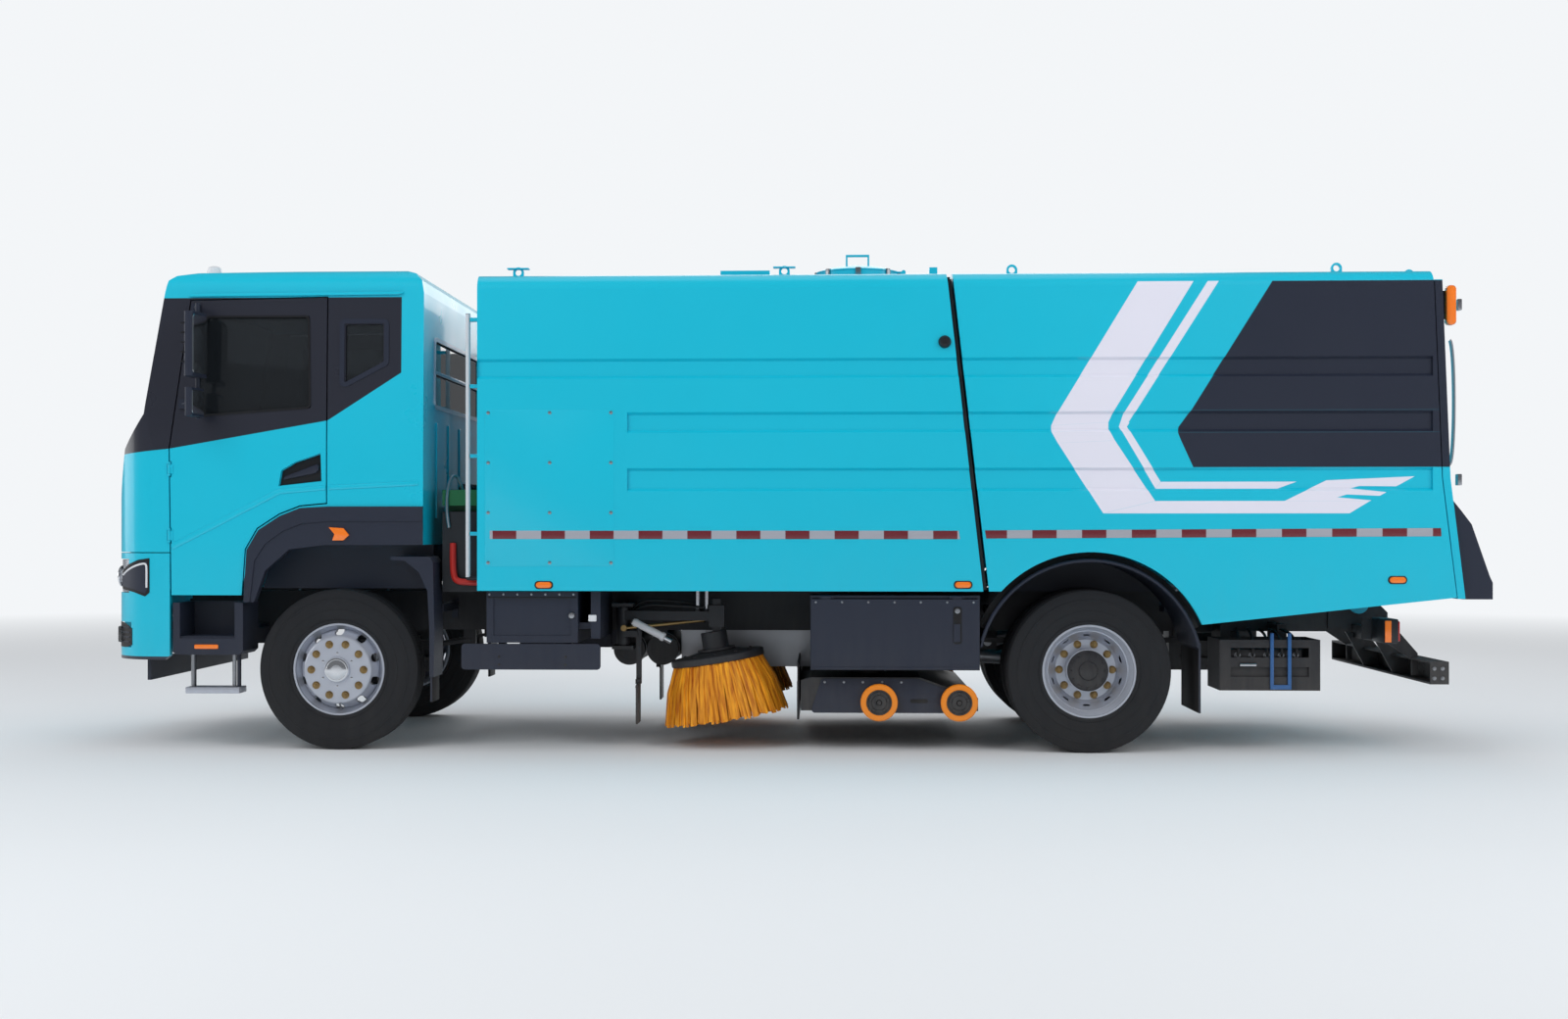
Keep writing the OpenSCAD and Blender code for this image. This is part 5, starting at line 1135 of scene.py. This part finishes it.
# lockers
lid_low, lid_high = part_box("locker_lid_left")
face_x = 1.206
lid_screws = row_of(screw((face_x, lid_low.y + 0.030, 0.936), (1, 0, 0), 0.007, 0.004),
                    [(0, 0.163 * i, 0) for i in range(1, 7)])
both(lid_screws, "locker_lid_screws", "locker_lid_left", "steel", body_right="locker_lid_right")
slot_plate = side_plate(rounded(1.017, 0.676, 1.070, 0.908, 0.016), face_x - 0.001, face_x + 0.003, 0.001)
both(slot_plate, "locker_latch_plate", "locker_lid_left", "seal", body_right="locker_lid_right")
lock = spin_round([(0, 0), (0, 0.017), (0.006, 0.016), (0.008, 0.010), (0.005, 0.008), (0.005, 0)],
                  (face_x + 0.0025, 1.043, 0.882), (1, 0, 0), 24)
both(lock, "locker_lock", "locker_lid_left", "steel", body_right="locker_lid_right")
lid_edge = side_plate([(lid_low.y + 0.004, lid_low.z + 0.004), (lid_high.y - 0.004, lid_low.z + 0.004),
                       (lid_high.y - 0.004, lid_low.z + 0.018), (lid_low.y + 0.004, lid_low.z + 0.018)],
                      face_x - 0.001, face_x + 0.004, 0.0015)
both(lid_edge, "locker_lid_hem", "locker_lid_left", "dark", body_right="locker_lid_right")

# battery boxes
plug = spin_round([(0, 0), (0, 0.020), (0.004, 0.022), (0.012, 0.018), (0.014, 0.010), (0.014, 0)],
                  (1.1675, -1.366, 0.848), (1, 0, 0), 24)
both(plug, "battery_box_plug", "chassis", "steel")
service = block((1.098, -1.266, 0.808), (1.136, -1.214, 0.850), 0.006)
both(service, "service_switch", "chassis", "white")
box_seam = side_plate([(-1.896, 0.956), (-1.336, 0.956), (-1.336, 0.964), (-1.896, 0.964)], 1.167, 1.1705, 0.001)
both(box_seam, "battery_box_lid_seam", "chassis", "seal")
box_bolts = row_of(screw((1.1675, -1.886, 0.980), (1, 0, 0), 0.007, 0.004), [(0, 0.0885 * i, 0) for i in range(1, 7)])
both(box_bolts, "battery_box_bolts", "chassis", "steel")
guard_bolts = row_of(screw((1.1755, -1.824, 0.588), (1, 0, 0), 0.009, 0.005), [(0, 0.42, 0), (0, 0, -0.05), (0, 0.42, -0.05)])
both(guard_bolts, "side_guard_bolts", "chassis", "black")

# rear mudguards: rolled rim and edge of the flap
arc = [(1.189, rear_hub.y + 0.6905 * math.cos(math.radians(a)), rear_hub.z + 0.6905 * math.sin(math.radians(a)))
       for a in range(14, 167, 6)]
both(tube(arc, 0.011), "rear_mudguard_rim", "chassis", "dark")
arc = [(1.150, rear_hub.y + 0.6935 * math.cos(math.radians(a)), rear_hub.z + 0.6935 * math.sin(math.radians(a)))
       for a in range(14, 167, 6)]
both(tube(arc, 0.006), "rear_mudguard_bead", "chassis", "dark")
# painted shade: a dark plate in the black seal finish stands in for the shade inside the rear wheel arch, above the
# mudguard rim
arch_shade_low = [(rear_hub.y + 0.6925 * math.cos(math.radians(a)), rear_hub.z + 0.6925 * math.sin(math.radians(a)))
               for a in range(22, 159, 4)]
arch_shade_high = [(rear_hub.y + 0.737 * math.cos(math.radians(a)), rear_hub.z + 0.737 * math.sin(math.radians(a)))
                for a in range(22, 159, 4)]
both(side_plate(arch_shade_low + arch_shade_high[::-1], 1.100, 1.108, 0.0015), "rear_arch_shade_plate", "chassis", "seal")
flap_low = block((0.600, rear_hub.y + 0.670, 0.252), (1.170, rear_hub.y + 0.684, 0.640), 0.003)
both(flap_low, "rear_mudflap_rubber", "chassis", "seal")
flap_bolts = row_of(screw((0.65, rear_hub.y + 0.6845, 0.62), (0, 1, 0), 0.010, 0.006), [(0.12 * i, 0, 0) for i in range(1, 5)])
both(flap_bolts, "rear_mudflap_bolts", "chassis", "steel")
front_flap = block((0.945, -2.265, 0.300), (1.155, -2.247, 0.462), 0.003)
both(front_flap, "front_mudflap_rubber", "chassis", "seal")

# pipes behind the cab
for x in (1.120,):
    both(rod((x, -2.030, 1.086), (x, -2.030, 2.748), 0.0155), "riser_pipe", "chassis", "white")
clips = [block((1.100, -2.0155, z - 0.001), (1.140, -1.949, z + 0.023), 0.002) for z in (1.35, 1.84, 2.28, 2.70)]
both(join(clips), "riser_clips", "chassis", "teal")
both(tube([(1.02, -2.144, 1.30), (1.03, -2.144, 1.20), (1.04, -2.140, 1.10), (1.05, -2.120, 1.055), (1.06, -2.06, 1.052),
           (1.06, -1.96, 1.052)], 0.021), "red_return_pipe", "chassis", "red")
both(tube([(0.92, -2.10, 1.63), (0.94, -2.12, 1.72), (0.98, -2.15, 1.75), (1.015, -2.18, 1.68), (1.03, -2.19, 1.52),
           (1.02, -2.17, 1.40)], 0.011), "coolant_hose", "chassis", "steel")
for x, z in ((0.80, 1.640), (0.62, 1.640)):
    cap_piece = spin_round([(0, 0), (0, 0.050), (0.020, 0.050), (0.026, 0.044), (0.040, 0.040), (0.044, 0.030), (0.044, 0)],
                           (x, -2.10, z - 0.001), (0, 0, 1), 28)
    both(cap_piece, f"power_unit_cap_{int(x * 100)}", "chassis", "seal")
fins = row_of(block((0.28, -2.2165, 1.02), (0.30, -2.208, 1.46), 0.002), [(0.045 * i, 0, 0) for i in range(1, 15)])
both(fins, "power_unit_fins", "chassis", "green")

# nozzle
nozzle_low, nozzle_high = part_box("suction_nozzle")
cheek = side_plate(round_corners([(0.130, 0.236), (0.200, 0.452), (0.800, 0.452), (1.150, 0.330), (1.150, 0.236)], 0.02),
                   1.088, 1.096, 0.002)
both(cheek, "nozzle_cheek", "nozzle", "dark")
slot_dark = side_plate(rounded(0.756, 0.300, 0.866, 0.324, 0.010), 1.094, 1.0985, 0.0008)
both(slot_dark, "nozzle_slot", "nozzle", "seal")
cheek_bolts = row_of(screw((1.0955, 0.220, 0.430), (1, 0, 0), 0.008, 0.005), [(0, 0.12 * i, 0) for i in range(1, 5)])
both(cheek_bolts, "nozzle_bolts", "nozzle", "steel")
curtain = front_plate([(-1.10, 0.197), (1.10, 0.197), (1.10, 0.52), (1.06, 0.56), (-1.06, 0.56), (-1.10, 0.52)], 0.048, 0.058, 0.002)
finish_piece(curtain, "nozzle_front_curtain", "nozzle", "seal")
clamp = rod((-1.0, 0.053, 0.520), (1.0, 0.053, 0.520), 0.009)
finish_piece(clamp, "curtain_clamp_bar", "nozzle", "steel")

# equipment trays
blue = join([block((1.079, y, 0.392), (1.094, y + 0.022, 0.742), 0.003) for y in (2.990, 3.098)]
            + [block((1.079, 2.990, 0.392), (1.096, 3.120, 0.420), 0.003)])
both(blue, "tray_blue_frame", "chassis", "blue")
both(rod((1.090, 2.800, 0.545), (1.090, 2.905, 0.545), 0.011), "tray_handle", "chassis", "chrome")
valve_block = block((0.90, 2.76, 0.561), (1.03, 3.20, 0.640), 0.006)
ports = row_of(nut((1.030, 2.80, 0.600), (1, 0, 0), 0.034, 0.018), [(0, 0.09 * i, 0) for i in range(1, 5)])
both(valve_block, "hydraulic_valve_block", "chassis", "black")
both(ports, "valve_ports", "chassis", "steel")
lines = [tube([(1.045, 2.80 + 0.09 * i, 0.600), (1.070, 2.80 + 0.09 * i, 0.62), (1.05, 2.80 + 0.09 * i, 0.70),
               (0.95, 2.82 + 0.08 * i, 0.745), (0.80, 2.84 + 0.07 * i, 0.75)], 0.009) for i in range(5)]
both(join(lines), "hydraulic_hoses", "chassis", "seal")

# rear of the truck
tail_low, tail_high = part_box("tail_fairing")
for i, (x0, x1, look) in enumerate(((0.712, 0.850, "lens"), (0.854, 0.985, "red lens"), (0.989, 1.118, "orange lens"))):
    lamp = block((x0, 4.226, 1.120), (x1, 4.262, 1.290), 0.008)
    both(lamp, f"tail_lamp_{('inner', 'middle', 'outer')[i]}", "tailgate", look)
ribs = row_of(block((0.735, 4.2615, 1.128), (0.741, 4.2645, 1.282), 0.0008), [(0.018 * i, 0, 0) for i in range(1, 21)])
both(ribs, "tail_lamp_ridges", "tailgate", "lens")
number_plate = outline_piece([(x, y, z) for x, y, z in ((-0.26, 4.262, 1.175), (0.26, 4.262, 1.175), (0.26, 4.214, 1.312),
                                                      (-0.26, 4.214, 1.312))], (0, 0.010, 0.0035), 0.002)
finish_piece(number_plate, "blank_number_plate", "tailgate", "white")
for z0, z1 in ((2.645, 2.889),):
    arm_piece = block((1.120, 4.004, z0 + 0.04), (1.170, 4.050, z1 - 0.03), 0.006)
    both(arm_piece, "gate_lamp_holder", "tailgate", "black")
    lens = side_plate(rounded(4.036, z0, 4.096, z1, 0.024), 1.150, 1.205, 0.008)
    both(lens, "gate_lamp", "tailgate", "orange lens")
lamp_box = block((0.776, 3.700, 0.676), (1.052, 3.790, 0.829), 0.008)
both(lamp_box, "rear_lamp_box", "chassis", "black")
both(block((1.050, 3.704, 0.684), (1.060, 3.744, 0.820), 0.004), "rear_side_lamp", "chassis", "orange lens")
both(block((0.790, 3.788, 0.690), (1.040, 3.802, 0.815), 0.005), "rear_lamp_lens", "chassis", "red lens")
reflectors = [block((x, 4.063, 0.470), (x + 0.15, 4.068, 0.530), 0.002) for x in (0.45, 0.75, 1.00)]
both(join(reflectors), "underrun_reflectors", "chassis", "red lens")
bolt_pairs = row_of(nut((1.1605, 3.975, 0.470), (1, 0, 0), 0.020, 0.009), [(0, 0.05, 0), (0, 0, 0.06), (0, 0.05, 0.06)])
both(bolt_pairs, "underrun_bolts", "chassis", "steel")

# roof
hatch_low, hatch_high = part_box("roof_hatch")
hatch_mid = (hatch_low + hatch_high) / 2
clamps = ring_of(block((0.255, -0.018, hatch_low.z - 0.030), (0.292, 0.018, hatch_low.z + 0.020), 0.004), 8, (0, 0, 0), (0, 0, 1))
clamps.data.transform(Matrix.Translation((0, 0.444, 0)))
finish_piece(clamps, "hatch_clamps", "chassis", "steel")

# ---------- front of the cab ----------


def between(line, at):
    """Height of a line of (y, z) points at a y."""
    for (y0, z0), (y1, z1) in zip(line, line[1:]):
        if at <= y1:
            return z0 + (z1 - z0) * max(0.0, (at - y0) / (y1 - y0))
    return line[-1][1]


def corner_x(y):
    """How far out the rounded front corner is."""
    r = 0.320
    return cab_high.x - 0.013 - r + math.sqrt(max(0.0, r * r - max(0.0, cab_low.y - 0.003 + r - y) ** 2))


def cling(low_line, high_line, lift, thick):
    """A thin panel that follows the rounded corner between two lines of (y, z) points."""
    piece = begin("grid", x_subdivisions=14, y_subdivisions=6, size=1)
    for vertex in piece.data.vertices:
        along, up = vertex.co.x + 0.5, vertex.co.y + 0.5
        y = low_line[0][0] + (low_line[-1][0] - low_line[0][0]) * along
        z = between(low_line, y) + (between(high_line, y) - between(low_line, y)) * up
        vertex.co = (corner_x(y) + lift, y, z)
    bpy.ops.object.mode_set(mode="EDIT")
    bpy.ops.mesh.select_all(action="SELECT")
    bpy.ops.mesh.extrude_region_shrink_fatten(TRANSFORM_OT_shrink_fatten={"value": thick})
    bpy.ops.mesh.select_all(action="SELECT")
    bpy.ops.mesh.normals_make_consistent(inside=False)
    bpy.ops.object.mode_set(mode="OBJECT")
    return piece


lamp_low = [(-4.262, 1.010), (-4.150, 0.990), (-4.070, 0.964), (-4.042, 0.990)]
lamp_high = [(-4.262, 1.120), (-4.200, 1.165), (-4.120, 1.196), (-4.042, 1.206)]
both(cling(lamp_low, lamp_high, 0.001, 0.003), "headlamp_surround", "cab", "seal")
inner_low = [(y, z + 0.018) for y, z in lamp_low[:-1]] + [(-4.056, 1.010)]
inner_high = [(y, z - 0.020) for y, z in lamp_high[:-1]] + [(-4.056, 1.186)]
both(cling(inner_low, inner_high, 0.0035, 0.002), "headlamp_side_lens", "cab", "dark")
strip = [(corner_x(y) + 0.007, y, between(inner_high, y) - 0.010) for y in (-4.25, -4.22, -4.18, -4.14, -4.10, -4.062)]
strip += [(corner_x(-4.060) + 0.007, -4.060, z) for z in (1.14, 1.10, 1.06, 1.02)]
both(tube(strip, 0.0065), "headlamp_light_strip", "cab", "white")
low_lamp_low = [(-4.286, 0.640), (-4.215, 0.640), (-4.170, 0.655)]
low_lamp_high = [(-4.286, 0.800), (-4.225, 0.792), (-4.170, 0.760)]
both(cling(low_lamp_low, low_lamp_high, 0.001, 0.003), "low_lamp_surround", "cab", "seal")
for i, z in enumerate((0.675, 0.705, 0.735, 0.765)):
    slat = tube([(corner_x(y) + 0.006, y, z) for y in (-4.280, -4.250, -4.220, -4.190)], 0.004)
    both(slat, f"low_lamp_slat_{i + 1}", "cab", "dark")

for word, x, r in (("outer", 0.985, 0.062), ("inner", 0.790, 0.062)):
    spot = touch("headlamps", (x, -6, 1.088), (0, 1, 0)) or Vector((x, -4.25, 1.088))
    rim = spin_round([(-0.004, r - 0.010), (0.006, r - 0.008), (0.010, r), (0.004, r + 0.006), (-0.004, r + 0.006)], spot,
                     (0, -1, 0), 36)
    both(rim, f"headlamp_ring_{word}", "cab", "chrome")
    dome = spin_round([(0.0, 0), (0.0, r - 0.011), (0.006, r - 0.012), (0.016, r * 0.55), (0.019, 0.0)], spot, (0, -1, 0), 36)
    both(dome, f"headlamp_dome_{word}", "cab", "lens")
bars = row_of(block((-0.545, -4.312, 0.795), (-0.530, -4.290, 0.840), 0.002), [(0.0505 * i, 0, 0) for i in range(1, 22)])
low_bars = row_of(block((-0.545, -4.312, 0.705), (-0.530, -4.290, 0.750), 0.002), [(0.0505 * i, 0, 0) for i in range(1, 22)])
finish_piece(join([bars, low_bars]), "grille_bars", "cab", "dark")
# painted shade: a dark strip in the black seal finish behind the lower grille slot stands in for the shade behind the
# grille, and keeps light from showing through it
grille_shade_strip = block((-0.56, -4.268, 0.690), (0.56, -4.262, 0.765), 0.002)
finish_piece(grille_shade_strip, "grille_shade_strip", "cab", "seal")
plate = block((-0.26, -4.3235, 0.880), (0.26, -4.3175, 0.990), 0.002)
finish_piece(plate, "blank_front_plate", "cab", "white")
fog = block((0.935, -4.288, 0.668), (1.085, -4.262, 0.772), 0.010)
both(fog, "low_front_lamp", "cab", "lens")


def glass_spot(x, z):
    return touch("cab_shell", (x, -6, z), (0, 1, 0)) or touch("cab_glass", (x, -6, z), (0, 1, 0))


# windscreen seal, wipers, panel seams
edge = round_corners([(-1.092, 2.062), (-1.067, 2.878), (1.067, 2.878), (1.092, 2.062)], 0.066, 6)
seal_line = [glass_spot(x * 1.003, z) for x, z in edge + edge[:1]]
finish_piece(tube(seal_line, 0.007, 2), "windscreen_seal", "cab", "seal")
for i, (x0, x1) in enumerate(((-0.62, 0.12), (0.30, 0.98))):
    foot = touch("cab_shell", (x0, -6, 2.030), (0, 1, 0))
    blade = [touch("cab_glass", (x0 + (x1 - x0) * k, -6, 2.115 + 0.055 * k), (0, 1, 0)) for k in (0.06, 0.28, 0.5, 0.72, 0.94)]
    blade = [point + Vector((0, -0.006, -0.002)) for point in blade]
    arm_line = [foot + Vector((0, -0.010, 0)), foot + Vector((0.06, -0.018, 0.05)), blade[2] + Vector((0, -0.014, -0.003)), blade[2]]
    pivot = spin_round([(0, 0), (0, 0.020), (0.012, 0.018), (0.016, 0.010), (0.016, 0)], foot, (0, -1, 0.3), 20)
    finish_piece(join([tube(blade, 0.005, 2), tube(arm_line, 0.007, 2), pivot]), f"wiper_{i + 1}", "cab", "seal")
for z, half, name in ((1.300, 0.94, "front_panel_seam_low"), (1.830, 0.94, "front_panel_seam_high")):
    line = [touch("cab_shell", (half * k / 6, -6, z), (0, 1, 0)) for k in range(-6, 7)]
    finish_piece(tube([spot for spot in line if spot], 0.0022, 2), name, "cab", "seal")
for sign, word in ((1, "left"), (-1, "right")):
    line = [touch("cab_shell", (0.94 * sign, -6, 1.300 + 0.53 * k / 6), (0, 1, 0)) for k in range(7)]
    finish_piece(tube([spot for spot in line if spot], 0.0022, 2), f"front_panel_seam_{word}", "cab", "seal")
grips = [tube([touch("cab_shell", (x, -6, z), (0, 1, 0)) + Vector((0, out, 0)) for x, z, out in
               ((x0, 1.95, 0.004), (x0, 1.97, -0.030), (x0 + 0.22, 1.97, -0.030), (x0 + 0.22, 1.95, 0.004))], 0.009, 2)
         for x0 in (-0.90, 0.68)]
finish_piece(join(grips), "front_grab_handles", "cab", "seal")


# ---------- seats ----------

def cushion(low, high, name, channels):
    """A crowned seat cushion: its sides pull in between the corners, and sewn channels cross it."""
    size, middle = Vector(high) - Vector(low), (Vector(low) + Vector(high)) / 2
    piece = begin("cube", size=1)
    bpy.ops.object.mode_set(mode="EDIT")
    bpy.ops.mesh.select_all(action="SELECT")
    bpy.ops.mesh.subdivide(number_cuts=9)
    bpy.ops.object.mode_set(mode="OBJECT")
    thin = min(range(3), key=lambda axis: size[axis])
    wide = [axis for axis in range(3) if axis != thin]
    for vertex in piece.data.vertices:
        at = [c * 2 for c in vertex.co]
        edge = max(abs(at[wide[0]]), abs(at[wide[1]]))
        crown = 1 - 0.34 * edge ** 4
        seam = min(abs(at[wide[1]] - c) for c in channels)
        if seam < 0.12 and edge < 0.9:
            crown -= 0.14 * (1 - seam / 0.12)
        new = [0, 0, 0]
        new[thin] = at[thin] * crown
        for axis, other in (wide, wide[::-1]):
            new[axis] = at[axis] * (1 - 0.035 * (1 - at[other] ** 2) * (abs(at[axis]) > 0.9))
        vertex.co = [middle[axis] + new[axis] * size[axis] / 2 for axis in range(3)]
    bpy.ops.object.modifier_add(type="SUBSURF")
    piece.modifiers[-1].levels = piece.modifiers[-1].render_levels = 1
    bpy.ops.object.modifier_apply(modifier=piece.modifiers[-1].name)
    piece.name = name
    return piece


seat_low, seat_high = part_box("seats")
for word, x in (("left", 0.530), ("right", -0.530)):
    base = cushion((x - 0.240, -3.325, 1.565), (x + 0.240, -2.835, 1.690), f"seat_cushion_{word}", (-0.35, 0.35))
    base = finish_piece(base, f"seat_cushion_{word}", "cab", "cloth", 60, ["seats"] if word == "left" else [])
    back = cushion((x - 0.235, -0.065, -0.330), (x + 0.235, 0.065, 0.330), f"seat_back_{word}", (-0.4, 0.0, 0.4))
    back.data.transform(Matrix.Translation((0, -2.805, 1.965)) @ Matrix.Rotation(math.radians(-11), 4, "X"))
    back = finish_piece(back, f"seat_back_{word}", "cab", "cloth", 60)
    head = cushion((x - 0.130, -0.045, -0.085), (x + 0.130, 0.045, 0.085), f"head_rest_{word}", (0.0,))
    head.data.transform(Matrix.Translation((0, -2.735, 2.372)) @ Matrix.Rotation(math.radians(-8), 4, "X"))
    head = finish_piece(head, f"head_rest_{word}", "cab", "cloth", 60)
    stays = join([rod((x + dx, -2.752, 2.240), (x + dx, -2.742, 2.320), 0.006) for dx in (-0.06, 0.06)])
    box = block((x - 0.190, -3.270, seat_low.z + 0.001), (x + 0.190, -2.890, 1.560), 0.012)
    finish_piece(join([stays, box]), f"seat_frame_{word}", "cab", "seal")
dials = join([block((0.36, -3.865, 1.905), (0.70, -3.845, 2.030), 0.008),
              block((-0.12, -3.800, 1.880), (0.16, -3.782, 2.000), 0.006)])
finish_piece(dials, "instrument_panels", "cab", "seal")
vents = row_of(block((-0.98, -3.78, 1.945), (-0.82, -3.735, 1.952), 0.001), [(0, -0.006, 0.014 * i) for i in range(1, 4)])
both(vents, "dashboard_vents", "cab", "dark")

# ---------- seam between body and hopper ----------


def seam_y(z):
    return 1.200 - 0.226 * (z - 1.004) / 1.976


strip_corners = [(seam_y(1.012) + 0.001, 1.012), (seam_y(2.940) + 0.001, 2.940), (seam_y(2.940) + 0.025, 2.940),
                 (seam_y(1.012) + 0.025, 1.012)]
both(side_plate(strip_corners, 1.150, 1.222, 0.003), "seam_seal", "chassis", "seal")
top_strip = block((-1.150, seam_y(2.95) + 0.001, 2.900), (1.150, seam_y(2.95) + 0.023, 2.962), 0.003)
finish_piece(top_strip, "seam_seal_top", "chassis", "seal")

# ---------- underneath ----------

for i, y in enumerate((-1.080, -0.858)):
    bands = [spin_round([(-0.020, 0.1035), (0.020, 0.1035), (0.020, 0.1070), (-0.020, 0.1070)], (x, y, 0.590), (1, 0, 0), 40)
             for x in (-0.30, 0.30)]
    finish_piece(join(bands), f"tank_bands_{i + 1}", "chassis", "steel")
for end, y in (("front", front_hub.y), ("rear", rear_hub.y)):
    clips = [tube([(x, y + dy, 0.50), (x, y + dy, 0.775), (x - 0.09, y + dy, 0.775), (x - 0.09, y + dy, 0.50)], 0.009, 2)
             for dy in (-0.07, 0.07) for x in (0.497,)]
    both(join(clips), f"spring_clips_{end}", "chassis", "steel")
prop = [spin_round([(-0.03, 0.0), (-0.03, 0.060), (0.0, 0.066), (0.03, 0.060), (0.03, 0.0)], (0, y, z), (0, 1, 0.05), 28)
        for y, z in ((-0.02, 0.600), (1.53, 0.520))]
finish_piece(join(prop), "drive_shaft_joints", "chassis", "steel")
bolts = row_of(nut((0.392, -3.60, 0.9795), (0, 0, 1), 0.022, 0.010), [(0, 0.30 * i, 0) for i in range(1, 5)])
both(bolts, "frame_bolts", "chassis", "steel")
clamps = [block((x - 0.025, 4.118, z), (x + 0.025, 4.146, z + 0.070), 0.005) for x in (1.130,) for z in (1.66, 2.74)]
both(join(clamps), "tailgate_clamps", "tailgate", "steel")
rail = tube([(0.90, 4.150, 1.80), (0.90, 4.185, 1.83), (0.90, 4.185, 2.55), (0.90, 4.150, 2.58)], 0.012, 2)
both(rail, "tailgate_grab_rail", "tailgate", "steel")

# ---------- floor and end ----------

bpy.ops.object.select_all(action="DESELECT")
floor = begin("circle", vertices=96, radius=90, fill_type="NGON", location=(0, 0, -0.0005))
floor.name = "floor"


def floor_finish():
    """Pale floor that keeps shadows near the truck and fades into the background further out."""
    material = bpy.data.materials.new("studio floor")
    material.use_nodes = True
    tree = material.node_tree
    surface = tree.nodes["Principled BSDF"]
    surface.inputs["Base Color"].default_value = (0.82, 0.84, 0.86, 1)
    surface.inputs["Roughness"].default_value = 0.9
    glow = node(tree, "Emission")
    glow.inputs["Color"].default_value = (0.90, 0.92, 0.94, 1)
    path, place = node(tree, "LightPath"), node(tree, "TexCoord")
    size = node(tree, "VectorMath", operation="LENGTH")
    tree.links.new(place.outputs["Object"], size.inputs[0])
    far = node(tree, "MapRange", in_1=7.0, in_2=22.0)
    tree.links.new(size.outputs["Value"], far.inputs[0])
    mix = node(tree, "MixShader")
    tree.links.new(sum_of(tree, "MULTIPLY", far.outputs[0], path.outputs["Is Camera Ray"]), mix.inputs[0])
    tree.links.new(surface.outputs[0], mix.inputs[1])
    tree.links.new(glow.outputs[0], mix.inputs[2])
    tree.links.new(mix.outputs[0], tree.nodes["Material Output"].inputs["Surface"])
    return material


floor.data.materials.append(floor_finish())
